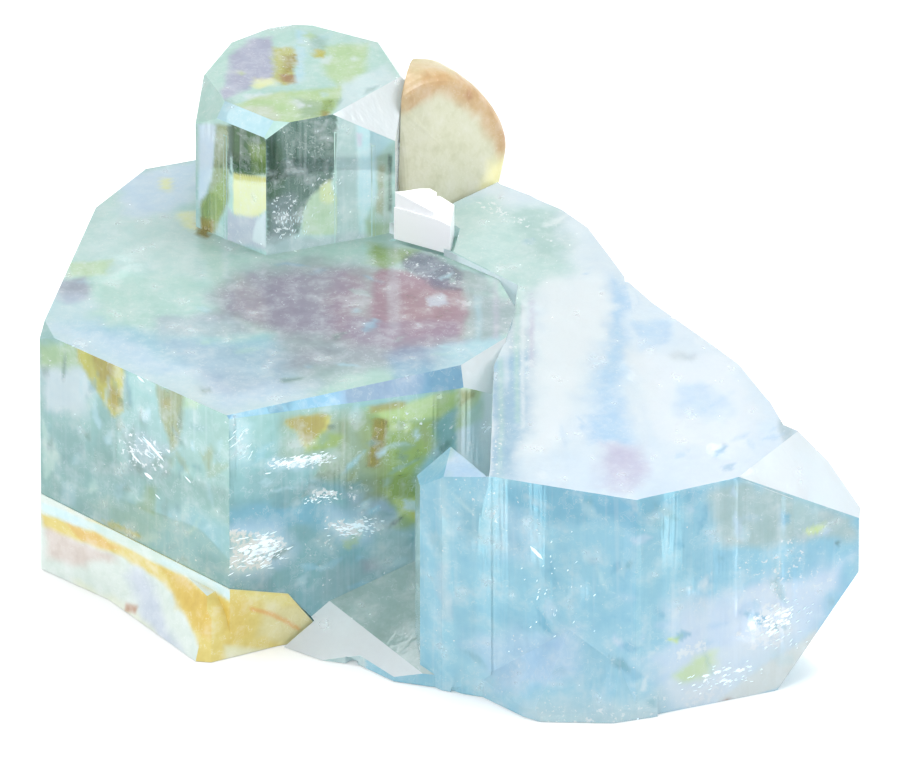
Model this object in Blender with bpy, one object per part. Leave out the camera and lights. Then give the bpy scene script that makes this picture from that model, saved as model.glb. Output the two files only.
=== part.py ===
"""A cluster of aquamarine crystals on a little stained matrix, cut flat underneath.

All sizes below are millimetres in plan from the main crystal's front corner: x runs to the right,
y runs to the back and z runs up from the flat cut base. The model itself is in metres.
"""

import math
import random

import bmesh
import bpy
from mathutils import Vector

for item in list(bpy.data.objects):
    bpy.data.objects.remove(item, do_unlink=True)

MM = 0.001

# Real sizes of the cluster. The outlines below are drawn for DRAWN_WIDTH.
CLUSTER_WIDTH = 60.0
DRAWN_WIDTH = 60.0
MAIN_TOP = 20.1
STUB_TOP = 31.0
BLUE_FRONT_TOP = 18.65
BLUE_TOP_RISE = 0.065
YELLOW_TOP = 31.3
WHITE_TOP = 22.9
MATRIX_FRONT = 4.95
CLEARANCE = 0.3

# The main crystal's front corner, seen from the middle of the cluster's base.
FRONT_CORNER = Vector((-15.982, -15.625))

# Beryl's pyramid faces slope down at this angle from level.
PYRAMID_STEEPNESS = 49.4

# The yellow crystal: where its flat front starts, its heading, its lean to the back and its thickness.
YELLOW_START = Vector((15.2, 28.9))
YELLOW_HEADING = 41.3
YELLOW_LEAN = 12.0
YELLOW_THICKNESS = 3.6

# The yellow and white crystals stand on the blue crystal's back part at this height.
SMALL_CRYSTAL_FOOT = 20.25

# How far the bodies reach below the base before they are cut off level, each a little further.
BELOW_BASE = -3.0
NEXT_BELOW = -0.23
FAR = 80.0


def to_world(x, y, z):
    """Turn millimetres from the front corner into metres from the middle of the base."""
    place = Vector((FRONT_CORNER.x + x, FRONT_CORNER.y + y, z))
    return place * (MM * CLUSTER_WIDTH / DRAWN_WIDTH)


def facing(azimuth, steepness):
    """Outward direction of a face that slopes down towards an azimuth, steepness from level."""
    lean = math.radians(steepness)
    turn = math.radians(azimuth)
    flat = math.sin(lean)
    return Vector((math.cos(turn) * flat, math.sin(turn) * flat, math.cos(lean)))


def through(a, b, c):
    """Plane through three points, facing up, as a point and a direction."""
    a, b, c = Vector(a), Vector(b), Vector(c)
    normal = (b - a).cross(c - a).normalized()
    if normal.z < 0:
        normal.negate()
    return a, normal


def slope(point, azimuth, steepness):
    """Plane through one point that slopes down towards an azimuth."""
    return Vector(point), facing(azimuth, steepness)


def upright(point, azimuth):
    """Upright plane through a point that faces an azimuth."""
    return Vector(point), facing(azimuth, 90.0)


def grown(plane, margin):
    """Move a plane outwards by a margin."""
    point, normal = plane
    return point + normal * margin, normal


def prism_mesh(outline, low, high):
    """Upright prism over an outline that runs counterclockwise seen from above."""
    mesh = bmesh.new()
    bottom = [mesh.verts.new((x, y, low)) for x, y in outline]
    top = [mesh.verts.new((x, y, high)) for x, y in outline]
    mesh.faces.new(bottom[::-1])
    mesh.faces.new(top)
    for i in range(len(outline)):
        j = (i + 1) % len(outline)
        mesh.faces.new((bottom[i], bottom[j], top[j], top[i]))
    return mesh


def cut(mesh, plane):
    """Cut a convex body along a plane, keep what lies behind it and close the cut with a face."""
    point, normal = plane
    parts = mesh.verts[:] + mesh.edges[:] + mesh.faces[:]
    bmesh.ops.bisect_plane(
        mesh, geom=parts, dist=1e-6, plane_co=point, plane_no=normal, clear_outer=True
    )
    rim = [edge for edge in mesh.edges if edge.is_boundary]
    if rim:
        bmesh.ops.contextual_create(mesh, geom=rim)


def finish_body(name, mesh, helper=True):
    """Place a body in the world. A helper only shapes another body."""
    bmesh.ops.recalc_face_normals(mesh, faces=mesh.faces)
    for vert in mesh.verts:
        vert.co = to_world(*vert.co)
    data = bpy.data.meshes.new(name)
    mesh.to_mesh(data)
    mesh.free()
    body = bpy.data.objects.new(name, data)
    bpy.context.collection.objects.link(body)
    if helper:
        body.hide_render = True
        body.display_type = "WIRE"
    return body


def crystal(name, outline, low, high, planes=(), helper=True):
    """Convex crystal: a prism over an outline, cut by planes."""
    mesh = prism_mesh(outline, low, high)
    for plane in planes:
        cut(mesh, plane)
    return finish_body(name, mesh, helper)


def combine(body, other, operation):
    """Fuse another body to this one, or carve it out of this one."""
    step = body.modifiers.new(operation.title() + " " + other.name, "BOOLEAN")
    step.operation = operation
    step.solver = "EXACT"
    step.object = other


def fuse(body, others):
    for other in others:
        combine(body, other, "UNION")


def carve(body, others):
    for other in others:
        combine(body, other, "DIFFERENCE")


def ribs(name, runs, depth_inside=0.5):
    """Fine upright growth ribs on prism faces.

    Each run is (start, end, low, high, places): the face's foot line from start to end, and for
    each rib its share of the way along, its width and how far it stands out.
    """
    mesh = bmesh.new()
    for start, end, low, high, places in runs:
        a, b = Vector(start), Vector(end)
        along = (b - a).normalized()
        out = Vector((along.y, -along.x))
        for share, width, height in places:
            middle = a + (b - a) * share
            profile = (
                middle - along * width / 2 - out * depth_inside,
                middle - along * width / 2 - out * height / 2,
                middle - along * width / 5 + out * height,
                middle + along * width / 3 + out * height,
                middle + along * width / 2 - out * height / 2,
                middle + along * width / 2 - out * depth_inside,
            )
            profile = profile[::-1]
            bottom = [mesh.verts.new((p.x, p.y, low)) for p in profile]
            top = [mesh.verts.new((p.x, p.y, high)) for p in profile]
            # The upper end slopes back into the face.
            for vert, p in zip(top, profile):
                vert.co.z -= max(0.0, (p - middle).dot(out)) * 4.0
            mesh.faces.new(bottom)
            mesh.faces.new(top[::-1])
            for i in range(len(profile)):
                j = (i + 1) % len(profile)
                mesh.faces.new((bottom[i], top[i], top[j], bottom[j]))
    return finish_body(name, mesh)


def chip(name, x, y, z, size, seed):
    """A rough faceted flake to knock out of an edge, the hull of points thrown round a place."""
    dice = random.Random(seed)
    stretch = Vector((dice.uniform(0.8, 1.6), dice.uniform(0.8, 1.6), dice.uniform(0.6, 1.0)))
    mesh = bmesh.new()
    for _ in range(14):
        turn = dice.uniform(0.0, math.tau)
        rise = dice.uniform(-1.0, 1.0)
        reach = size * math.sqrt(1.0 - rise * rise)
        mesh.verts.new((
            x + stretch.x * reach * math.cos(turn),
            y + stretch.y * reach * math.sin(turn),
            z + stretch.z * size * rise,
        ))
    hull = bmesh.ops.convex_hull(mesh, input=mesh.verts)
    unused = [item for item in hull["geom_interior"] if isinstance(item, bmesh.types.BMVert)]
    bmesh.ops.delete(mesh, geom=unused, context="VERTS")
    return finish_body(name, mesh)


def paint(body, name, colour, roughness, transmission=0.0):
    """Give a body its own plain material."""
    look = bpy.data.materials.new(name)
    look.use_nodes = True
    shader = look.node_tree.nodes["Principled BSDF"]
    shader.inputs["Base Color"].default_value = (*colour, 1.0)
    shader.inputs["Roughness"].default_value = roughness
    shader.inputs["Metallic"].default_value = 0.0
    shader.inputs["Transmission Weight"].default_value = transmission
    shader.inputs["IOR"].default_value = 1.57
    body.data.materials.append(look)


def blue_top(extra=0.0, tilt=0.0):
    """The blue crystal's top rises gently to the back, and a tilt lowers it to the right."""
    height = BLUE_FRONT_TOP + extra
    a = Vector((18.9, -6.15, height))
    across = Vector((1.0, 0.0, -tilt))
    back = Vector((0.0, 1.0, BLUE_TOP_RISE))
    return through(a, a + across, a + back)


ground = crystal(
    "ground_cut", [(-FAR, -FAR), (FAR, -FAR), (FAR, FAR), (-FAR, FAR)], -FAR, 0.0
)

# The main crystal: a six-sided prism with a flat top and bevelled front-right edges.
MAIN_OUTLINE = [
    (0.0, 0.0),
    (16.9, 6.3),
    (19.6, 7.9),
    (20.9, 15.8),
    (19.6, 20.2),
    (-1.8, 38.8),
    (-5.7, 37.4),
    (-9.6, 32.9),
    (-13.95, 12.4),
]
aquamarine = crystal(
    "aquamarine_crystals",
    MAIN_OUTLINE,
    BELOW_BASE,
    MAIN_TOP,
    [
        slope((16.9, 7.49, MAIN_TOP), -66.7, PYRAMID_STEEPNESS),
        slope((16.9, 7.5, MAIN_TOP), -39.0, 56.5),
        slope((-13.1, 12.3, MAIN_TOP), 196.0, 38.0),
        slope((-8.9, 32.6, MAIN_TOP), 148.0, PYRAMID_STEEPNESS),
        slope((-4.4, 37.3, MAIN_TOP), 110.0, 42.0),
    ],
    helper=False,
)

# The stub: a twelve-sided prism with small pyramid faces round its top.
STUB_OUTLINE = [
    (2.57, 23.6),
    (12.04, 27.1),
    (12.85, 31.6),
    (10.5, 36.9),
    (8.4, 38.6),
    (4.5, 38.95),
    (1.2, 37.9),
    (-1.5, 34.6),
    (-2.64, 27.9),
]
stub = crystal(
    "stub",
    STUB_OUTLINE,
    12.0,
    STUB_TOP,
    [
        slope((2.57, 23.6, 29.9), 260.4, PYRAMID_STEEPNESS),
        slope((12.04, 27.1, 27.8), -41.2, 54.0),
        slope((-2.64, 27.9, 28.8), 200.4, PYRAMID_STEEPNESS),
        slope((-0.5, 26.0, 29.9), 230.4, 44.0),
        slope((-1.6, 34.2, 30.0), 158.0, 55.0),
        slope((1.3, 37.8, 30.5), 128.0, 50.0),
        slope((12.2, 33.5, 30.4), 18.0, PYRAMID_STEEPNESS),
        slope((8.2, 38.4, 30.2), 62.0, PYRAMID_STEEPNESS),
    ],
)

# The blue crystal: parallel prisms that share one long front-right face.
END_FACET = through((36.3, -6.75, 18.5), (40.6, -0.8, 18.95), (45.8, -2.9, 13.1))
UNDERCUT = (Vector((45.2, -3.1, 7.7)), Vector((0.835, -0.1, -0.54)).normalized())
blue_front = crystal(
    "blue_front",
    [
        (18.9, -6.15),
        (29.6, -9.25),
        (30.4, -8.8),
        (28.9, 20.0),
        (27.9, 22.5),
        (26.2, 26.6),
        (24.3, 29.0),
        (22.1, 30.7),
    ],
    BELOW_BASE + 1 * NEXT_BELOW,
    30.0,
    [blue_top()],
)
blue_back = crystal(
    "blue_back",
    [
        (21.2, 18.8),
        (24.1, 28.8),
        (22.0, 30.9),
        (19.8, 32.4),
        (16.5, 37.2),
        (9.0, 40.0),
        (3.0, 40.9),
        (-1.2, 39.6),
        (-2.3, 38.8),
    ],
    BELOW_BASE + 2 * NEXT_BELOW,
    30.0,
    [blue_top(0.12, 0.004)],
)
blue_right = crystal(
    "blue_right",
    [
        (26.5, -7.9),
        (29.75, -9.13),
        (41.0, -4.75),
        (40.7, -0.7),
        (40.0, 2.4),
        (39.0, 4.3),
        (37.2, 8.4),
        (35.2, 11.1),
        (30.9, 16.6),
        (29.2, 19.3),
        (26.0, 20.5),
    ],
    BELOW_BASE + 3 * NEXT_BELOW,
    30.0,
    [blue_top(-0.16), END_FACET, grown(UNDERCUT, -0.15), slope((39.8, 2.6, 18.9), 12.0, 48.0)],
)
blue_end = crystal(
    "blue_end",
    [(34.0, -7.4), (45.85, -2.84), (45.95, -2.1), (43.2, -0.3), (40.2, 1.9), (34.0, 4.0)],
    BELOW_BASE + 4 * NEXT_BELOW,
    30.0,
    [blue_top(-0.3), grown(END_FACET, 0.07), UNDERCUT, slope((42.4, 0.4, 16.6), 52.0, 62.0)],
)

blue_shoulder = crystal(
    "blue_shoulder",
    [(19.0, -5.0), (21.5, -5.5), (22.2, 15.0), (20.6, 13.5), (19.3, 8.3)],
    BELOW_BASE + 12 * NEXT_BELOW,
    30.0,
    [blue_top(0.06)],
)

# The small pointed tip at the blue crystal's left end, with a hollow behind it.
TIP_PEAK = (16.15, -2.0, 18.7)
tip = crystal(
    "tip",
    [(13.55, -1.0), (13.9, -3.7), (15.5, -5.2), (19.1, -6.32), (19.6, 9.0), (13.6, 8.0)],
    BELOW_BASE + 5 * NEXT_BELOW,
    30.0,
    [
        through((15.6, -5.3, 18.05), TIP_PEAK, (18.75, -6.15, 18.62)),
        through((13.95, -2.6, 16.5), TIP_PEAK, (15.6, -5.3, 18.05)),
        through(TIP_PEAK, (18.75, -6.15, 18.62), (17.0, 6.6, 10.8)),
        through((16.0, -1.8, 18.45), (13.9, -1.5, 16.1), (14.6, 5.6, 10.4)),
    ],
)

# The blue crystal's foot swells forward, and a low rough ledge joins it to the main crystal.
toe = crystal(
    "toe",
    [(17.6, -5.3), (21.4, -8.9), (22.6, -9.65), (28.0, -9.85), (31.2, -8.9), (31.0, -3.0), (18.0, -2.0)],
    BELOW_BASE + 6 * NEXT_BELOW,
    9.0,
    [
        through((22.0, -9.4, 1.1), (28.0, -9.8, 1.3), (25.0, -7.9, 6.6)),
        slope((19.3, -6.9, 1.3), 232.0, 64.0),
        slope((30.6, -9.0, 0.8), -70.0, 76.0),
    ],
)
ledge = crystal(
    "ledge",
    [
        (3.4, 0.2),
        (5.0, -0.5),
        (7.3, -1.0),
        (9.5, -1.6),
        (12.0, -3.9),
        (14.9, -4.7),
        (18.4, -5.6),
        (18.4, 4.0),
        (9.0, 6.0),
        (4.0, 4.0),
    ],
    BELOW_BASE + 7 * NEXT_BELOW,
    9.0,
    [
        through((5.5, 1.9, 2.3), (13.5, -1.2, 2.3), (10.0, -2.2, 1.3)),
        slope((4.3, 0.6, 1.2), 205.0, 40.0),
        slope((10.4, -2.4, 0.7), 236.0, 42.0),
    ],
)

# Parallel growth seen from behind and from the sides.
back_plate = crystal(
    "back_plate",
    [(6.0, 30.0), (20.6, 30.0), (17.6, 36.2), (9.6, 40.55), (5.6, 41.1)],
    BELOW_BASE + 8 * NEXT_BELOW,
    13.5,
    [slope((10.0, 40.3, 12.4), 110.0, 24.0), slope((17.5, 35.8, 11.6), 40.0, 35.0)],
)
side_plate = crystal(
    "side_plate",
    [(-13.4, 13.6), (-12.0, 12.0), (-6.0, 20.0), (-9.4, 29.6), (-10.8, 29.6)],
    BELOW_BASE + 9 * NEXT_BELOW,
    17.2,
    [slope((-13.2, 15.0, 16.6), 170.4, 60.0), slope((-10.6, 29.2, 14.8), 80.0, 38.0)],
)
back_step = crystal(
    "back_step",
    [(25.6, 18.0), (31.6, 14.2), (31.3, 16.9), (28.7, 22.6), (26.9, 26.9), (24.0, 26.0)],
    BELOW_BASE + 10 * NEXT_BELOW,
    9.4,
    [slope((28.4, 22.4, 8.6), 23.0, 40.0)],
)
top_rib = crystal(
    "top_rib",
    [(20.75, 2.5), (21.5, 1.6), (21.7, 16.2), (21.0, 17.4)],
    10.0,
    20.2,
    [blue_top(0.34), slope((21.6, 9.0, BLUE_FRONT_TOP + 1.2), 0.0, 50.0)],
)

fine_ribs = ribs(
    "fine_ribs",
    [
        # The main crystal's hidden left and back faces.
        ((-9.6, 32.9), (-13.95, 12.4), 0.2, 18.4, [(0.16, 0.9, 0.12), (0.62, 0.5, 0.08)]),
        ((-1.8, 38.8), (-9.6, 32.9), 0.2, 17.8, [(0.3, 0.9, 0.1), (0.7, 0.6, 0.08)]),
        # The blue crystal's front.
        ((18.9, -6.15), (29.6, -9.25), 5.2, 18.3, [(0.16, 0.3, 0.04), (0.24, 0.5, 0.05)]),
        ((15.5, -5.2), (19.1, -6.32), 0.45, 17.3, [(0.42, 0.4, 0.06)]),
        # The blue crystal's hidden back faces.
        ((40.0, 2.4), (37.2, 8.4), 0.2, 14.0, [(0.4, 1.2, 0.15)]),
        ((35.2, 11.1), (30.9, 16.4), 0.2, 15.5, [(0.3, 0.8, 0.15), (0.7, 0.9, 0.12)]),
        ((24.3, 29.0), (19.8, 32.3), 0.2, 18.0, [(0.4, 0.9, 0.15), (0.75, 0.6, 0.1)]),
        ((16.5, 37.2), (9.0, 40.0), 14.0, 19.6, [(0.3, 0.7, 0.12), (0.65, 1.0, 0.12)]),
        # The stub.
        ((2.57, 23.6), (12.04, 27.1), 19.0, 29.6, [(0.54, 0.3, 0.05)]),
        ((2.57, 23.6), (12.04, 27.1), 19.0, 27.9, [(0.83, 0.4, 0.05)]),
        ((-2.64, 27.9), (2.57, 23.6), 19.0, 29.0, [(0.42, 0.4, 0.05)]),
        ((12.85, 31.6), (10.5, 36.9), 19.0, 28.2, [(0.4, 0.8, 0.1)]),
        ((4.5, 38.95), (1.2, 37.9), 19.0, 28.6, [(0.5, 0.7, 0.1)]),
    ],
)


def matrix_bodies(margin, label):
    """The matrix under the main crystal, grown outwards by a margin."""
    foot = BELOW_BASE + 10 * NEXT_BELOW - margin
    everywhere = [(-FAR, -FAR), (FAR, -FAR), (FAR, FAR), (-FAR, FAR)]
    wedge_faces = [
        through((-13.9, 12.6, 5.75), (0.0, 0.0, MATRIX_FRONT), (2.0, 22.0, 0.2)),
        upright((-13.97, 12.4, 0.0), 168.0),
        upright((-0.05, -0.05, 0.0), 228.4),
        upright((0.0, -0.1, 0.0), -69.6),
        slope((3.3, 1.15, 4.9), 16.0, 51.0),
        slope((-6.0, 22.0, 1.4), 72.0, 60.0),
        slope((-12.0, 22.0, 1.8), 110.0, 48.0),
    ]
    knee_faces = [
        slope((-2.6, -0.9, 0.0), 216.0, 69.0),
        slope((-1.9, -1.1, 0.0), 262.0, 72.0),
        slope((0.0, -0.5, 0.0), -64.0, 74.0),
        slope((3.0, 0.1, 0.2), -66.0, 60.0),
        slope((3.7, 1.0, 3.6), 12.0, 58.0),
        upright((-11.0, 11.0, 0.0), 190.0),
        upright((0.0, 9.0, 0.0), 60.0),
        slope((-1.0, 0.2, 4.1), 240.0, 16.0),
    ]
    return [
        crystal("matrix_wedge" + label, everywhere, foot, 12.0,
                [grown(face, margin) for face in wedge_faces]),
        crystal("matrix_knee" + label, everywhere, foot + NEXT_BELOW, 12.0,
                [grown(face, margin) for face in knee_faces]),
    ]


matrix = matrix_bodies(0.0, "")
matrix_pocket = matrix_bodies(CLEARANCE, "_pocket")

# Rough flakes lost from the cluster's lower edges and corners.
CHIP_PLACES = [
    (-13.4, 27.0, 0.0, 1.5),
    (-8.4, 34.9, 0.0, 1.9),
    (1.0, 40.6, 0.2, 1.5),
    (12.8, 39.7, 0.0, 1.8),
    (21.0, 32.3, 0.0, 1.7),
    (30.2, 22.4, 0.1, 1.6),
    (36.0, 10.6, 0.0, 1.8),
    (41.0, 0.8, 0.2, 1.7),
    (33.4, -9.0, -0.1, 1.0),
    (38.0, -7.1, 0.0, 1.0),
    (20.1, -8.9, -0.1, 0.9),
    (16.7, -5.7, 0.0, 0.7),
    (8.8, -1.9, 0.1, 0.9),
    (39.8, 5.0, 19.0, 0.8),
    (28.9, 22.2, 20.7, 0.8),
    (-10.1, 33.5, 16.8, 0.8),
    (5.6, 41.8, 13.2, 1.2),
    (24.6, 29.6, 9.8, 0.9),
]
rim_chips = [
    chip(f"rim_chip_{number}", *place, seed=number)
    for number, place in enumerate(CHIP_PLACES, start=1)
]

# The yellow crystal: a short slab with a flat front, rounded at the top and the right.
# Its rounded edge from front to back: (share of the thickness, how far it draws in).
YELLOW_EDGE = [(0.0, 1.0), (0.05, 0.5), (0.17, 0.15), (0.38, 0.0), (0.72, 0.05), (0.9, 0.4), (1.0, 1.1)]


def slab(name, outline, edge, grow=0.0, helper=True):
    """Slab on its edge: an outline of (along, height) points, drawn in where its edge is rounded.

    Its left end is cut to lie along the stub.
    """
    turn = math.radians(YELLOW_HEADING)
    along = Vector((math.cos(turn), math.sin(turn), 0.0))
    back = Vector((-math.sin(turn), math.cos(turn), 0.0))
    lean = math.tan(math.radians(YELLOW_LEAN))
    foot = Vector((YELLOW_START.x, YELLOW_START.y, 0.0))
    middle = Vector((sum(p[0] for p in outline), sum(p[1] for p in outline))) / len(outline)
    mesh = bmesh.new()
    rings = []
    for share, drawn_in in edge:
        depth = share * (YELLOW_THICKNESS + 2.0 * grow) - grow
        ring = []
        for s, z in outline:
            outward = (Vector((s, z)) - middle).normalized() * (1.5 * grow - drawn_in)
            height = z + outward.y
            shift = along * (s + outward.x) + back * ((height - SMALL_CRYSTAL_FOOT) * lean + depth)
            ring.append(mesh.verts.new(foot + shift + Vector((0.0, 0.0, height))))
        rings.append(ring)
    mesh.faces.new(rings[0])
    mesh.faces.new(rings[-1][::-1])
    for near, far in zip(rings, rings[1:]):
        for i in range(len(outline)):
            j = (i + 1) % len(outline)
            mesh.faces.new((near[j], near[i], far[i], far[j]))
    cut(mesh, grown(upright((13.25, 31.6, 0.0), 170.4), grow))
    return finish_body(name, mesh, helper)


YELLOW_OUTLINE = [
    (-3.4, SMALL_CRYSTAL_FOOT),
    (6.3, SMALL_CRYSTAL_FOOT),
    (7.1, 21.3),
    (7.95, 23.2),
    (7.8, 24.9),
    (7.0, 26.7),
    (5.8, 28.4),
    (4.1, 30.1),
    (2.3, 30.85),
    (0.2, YELLOW_TOP - 0.1),
    (-2.6, YELLOW_TOP - 0.6),
]
yellow = slab("yellow_crystal", YELLOW_OUTLINE, YELLOW_EDGE, helper=False)
yellow_pocket = slab("yellow_pocket", YELLOW_OUTLINE, [(0.0, 0.0), (1.0, 0.0)], grow=CLEARANCE)

# The white crystal: two small blocks grown together in the corner behind the stub.
WHITE_OUTLINE = [(11.95, 25.85), (16.1, 23.5), (16.4, 26.2), (15.3, 27.6), (13.9, 27.1), (12.5, 26.2)]


def white_block(name, grow=0.0, helper=True):
    """The white crystal's lower block, grown outwards for its pocket."""
    middle_x = sum(p[0] for p in WHITE_OUTLINE) / len(WHITE_OUTLINE)
    middle_y = sum(p[1] for p in WHITE_OUTLINE) / len(WHITE_OUTLINE)
    outline = []
    for x, y in WHITE_OUTLINE:
        away = Vector((x - middle_x, y - middle_y)).normalized() * grow * 1.4
        outline.append((x + away.x, y + away.y))
    cuts = [slope((15.6, 24.2, WHITE_TOP), -60.0, 14.0)] if grow == 0.0 else []
    return crystal(name, outline, SMALL_CRYSTAL_FOOT - grow, WHITE_TOP + 2.0 * grow, cuts, helper)


white = white_block("white_crystal", helper=False)
white_upper = crystal(
    "white_upper",
    [(12.05, 25.9), (14.9, 24.35), (15.1, 26.9), (14.6, 27.2), (13.8, 26.9), (12.6, 26.15)],
    21.5,
    WHITE_TOP + 3.0,
    [slope((12.4, 26.2, WHITE_TOP + 1.25), -25.0, 15.0)],
)
white_pocket = white_block("white_pocket", grow=CLEARANCE)

fuse(aquamarine, [
    blue_front, blue_back, blue_right, blue_end, blue_shoulder, tip, toe, ledge,
    back_plate, side_plate, back_step, stub, top_rib, fine_ribs,
])
carve(aquamarine, [ground, *rim_chips, *matrix_pocket, yellow_pocket, white_pocket])
fuse(white, [white_upper])

stained_matrix = matrix[0]
stained_matrix.name = "stained_matrix"
stained_matrix.hide_render = False
stained_matrix.display_type = "TEXTURED"
fuse(stained_matrix, matrix[1:])
carve(stained_matrix, [ground])

paint(aquamarine, "aquamarine", (0.66, 0.88, 0.90), 0.08, transmission=0.9)
paint(yellow, "yellow_beryl", (0.90, 0.84, 0.66), 0.3, transmission=0.5)
paint(white, "white_beryl", (0.94, 0.95, 0.97), 0.35, transmission=0.3)
paint(stained_matrix, "stained_matrix", (0.90, 0.82, 0.62), 0.6)
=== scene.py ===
"""Looks, camera and soft light for a cluster of aquamarine crystals on stained matrix.

Places are given in millimetres from the main crystal's front corner, as in the part: x runs to the
right, y to the back and z up from the flat base. Marks of colour keep the points at which they were
picked in enlarged views of the photograph, and a function turns those into millimetres.
"""

import math

import bmesh
import bpy
import numpy as np
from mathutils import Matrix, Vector


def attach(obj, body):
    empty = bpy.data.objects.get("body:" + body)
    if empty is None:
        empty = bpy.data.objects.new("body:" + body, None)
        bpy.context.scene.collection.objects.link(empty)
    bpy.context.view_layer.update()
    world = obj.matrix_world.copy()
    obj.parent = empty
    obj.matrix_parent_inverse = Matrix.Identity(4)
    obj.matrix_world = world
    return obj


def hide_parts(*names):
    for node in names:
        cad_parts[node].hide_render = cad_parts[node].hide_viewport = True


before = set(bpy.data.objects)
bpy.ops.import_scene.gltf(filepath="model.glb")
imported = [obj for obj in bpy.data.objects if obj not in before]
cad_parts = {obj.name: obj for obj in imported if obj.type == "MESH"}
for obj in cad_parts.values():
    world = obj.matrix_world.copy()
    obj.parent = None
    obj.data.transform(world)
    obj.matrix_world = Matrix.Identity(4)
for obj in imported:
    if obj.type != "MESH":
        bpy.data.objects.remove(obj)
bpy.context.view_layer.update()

MM = 0.001
CORNER = np.array([-15.982, -15.625, 0.0])

# Headings of the crystals' front faces, in degrees from x.
RIGHT_FACE = 20.44
LEFT_FACE = -41.63
TIP_FACE = -16.16
TIP_FRONT = -17.28
END_FACE = 21.3

# Refractive index of beryl
IOR = 1.57

# The photograph, 900 x 768 pixels: the one that shows the main crystal's front corner, and how far
# across and down a millimetre to the right, to the back and up shows, from 30 degrees above
CORNER_PIXEL = np.array([231.0, 653.0])
PIXELS_ACROSS = np.array([13.617, 0.0, 0.0])
PIXELS_DOWN = np.array([0.0, -6.809, -11.793])

# Enlarged views of the photograph in which marks were picked: the pixel at the top left, and the
# enlargement. Each face has one.
LEFT_VIEW = (30.0, 320.0, 4.58)
RIGHT_VIEW = (226.0, 379.6, 5.1)
TOP_VIEW = (42.0, 151.0, 3.3)
STUB_VIEW = (189.1, 20.2, 6.57)
BLUE_FRONT_VIEW = (408.0, 440.0, 3.4)
BLUE_TOP_VIEW = (465.0, 167.0, 4.5)
VIEWS = {
    "left": LEFT_VIEW, "right": RIGHT_VIEW, "stem": RIGHT_VIEW, "top": TOP_VIEW,
    "stub_left": STUB_VIEW, "stub_right": STUB_VIEW, "stub_top": STUB_VIEW,
    "blue_front": BLUE_FRONT_VIEW, "blue_top": BLUE_TOP_VIEW,
    "matrix_left": LEFT_VIEW, "matrix_right": RIGHT_VIEW,
}

# Where the tip ends, where the blue crystal's front bends and where the main top ends, along x
TIP_END = 18.9
FRONT_BEND = 29.75
MAIN_TOP_END = 20.6

# Faint steps on the blue crystal's top and ribs on its front up to these heights are pressed flat.
# Points this close to the main top's height lie on it and stay.
TOP_STEP = 0.38
FRONT_RIB = 0.09
SAME_HEIGHT = 0.02

# Heights of the tops above the base, and the way to the back along the blue crystal's, which rises
MAIN_TOP = 20.1
STUB_TOP = 31.0
BLUE_TOP = 19.05
BLUE_TOP_BACK = np.array([0.0, 0.998, 0.065])

# Feet of the left and the right face, shared by the main crystal and the matrix
LEFT_FOOT = (-13.95, 12.4)
RIGHT_FOOT = (0.0, 0.0)

# The yellow crystal, a slab on its edge: where its flat front starts, its heading and its lean in
# degrees, its thickness, the height that it leans from, how much the front and the rear of its edge
# are rounded off, and the steps round its outline and the times that they are smoothed
SLAB_START = (15.2, 28.9)
SLAB_HEADING = 41.3
SLAB_LEAN = 12.0
SLAB_THICKNESS = 3.6
SLAB_FOOT = 20.25
SLAB_FRONT_ROUNDING = 0.95
SLAB_REAR_ROUNDING = 1.1
SLAB_STEPS = 96
SLAB_SMOOTHINGS = 3

# The stub's right side, which the slab is pressed against: a point on it and where it faces
STUB_SIDE = np.array([12.93, 31.65, 0.0])
STUB_SIDE_FACING = 170.4

# Longest edges of the refined meshes, where marks are fine and elsewhere
CRYSTAL_EDGES = (0.47, 2.4)
SLAB_EDGES = (0.3, 1.0)
WHITE_EDGES = (0.5, 1.0)
MATRIX_EDGES = (0.3, 1.0)

# In a refined mesh: the upward share of a normal that counts as facing up, how many times longer
# the edges may be there, the height that the stub's start above, and the share that they keep
FACING_UP = 0.7
TOP_LONGER = 1.25
ABOVE_MAIN = 20.3
STUB_SHORTER = 0.72

# Points of one place, in metres, and facets that count as one plane, in degrees
SAME_PLACE = 1e-6
SAME_PLANE = 0.3

# The matrix above its foot is raised to meet the main crystal.
MATRIX_FOOT = 0.3
MATRIX_RISE = 0.6

# Slivers: how far out of a face they stand, how far they turn in degrees, and the shares of their
# length and width that they may lack
SLIVER_HALF_DEPTH = 0.03
SLIVER_TURN = 12.0
SLIVER_SHORTER = 0.65
SLIVER_THINNER = 0.6
SLIVER_SEED = 9

# Noise that moves the marks' edges: (share, cell, seed). Its lattice repeats after this many cells,
# and the broad zones are moved this much more.
DRIFT = [(1.0, 2.3, 11), (0.6, 0.8, 12)]
LATTICE = 32
ZONE_DRIFT = 1.5

# How closely a painted facet faces its normal, as a cosine, how far off its plane it may lie and
# how far from its point it reaches
FACET_FACING = 0.99
FACET_OFF_PLANE = 0.4
FACET_REACH = 14.0

# Angular cracks: the shortest, the narrowest and the widest, their tail's share of the length, how
# far they turn from their way of lying in degrees, their strengths, soft edge and raggedness
SHARD_SHORTEST = 0.4
SHARD_WIDTHS = (0.18, 0.5)
SHARD_TAIL = 0.7
SHARD_TURN = 28.0
SHARD_STRENGTHS = (0.3, 0.75)
SHARD_SOFT = 0.25
SHARD_RAGGED = 0.3

# The photograph's view, in metres and degrees: a far camera with a long lens
VIEW_TARGET = Vector((0.0001, 0.0, 0.0138))
VIEW_DISTANCE = 1.835
VIEW_ELEVATION = 30.0
VIEW_LENS = 1000.0

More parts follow.
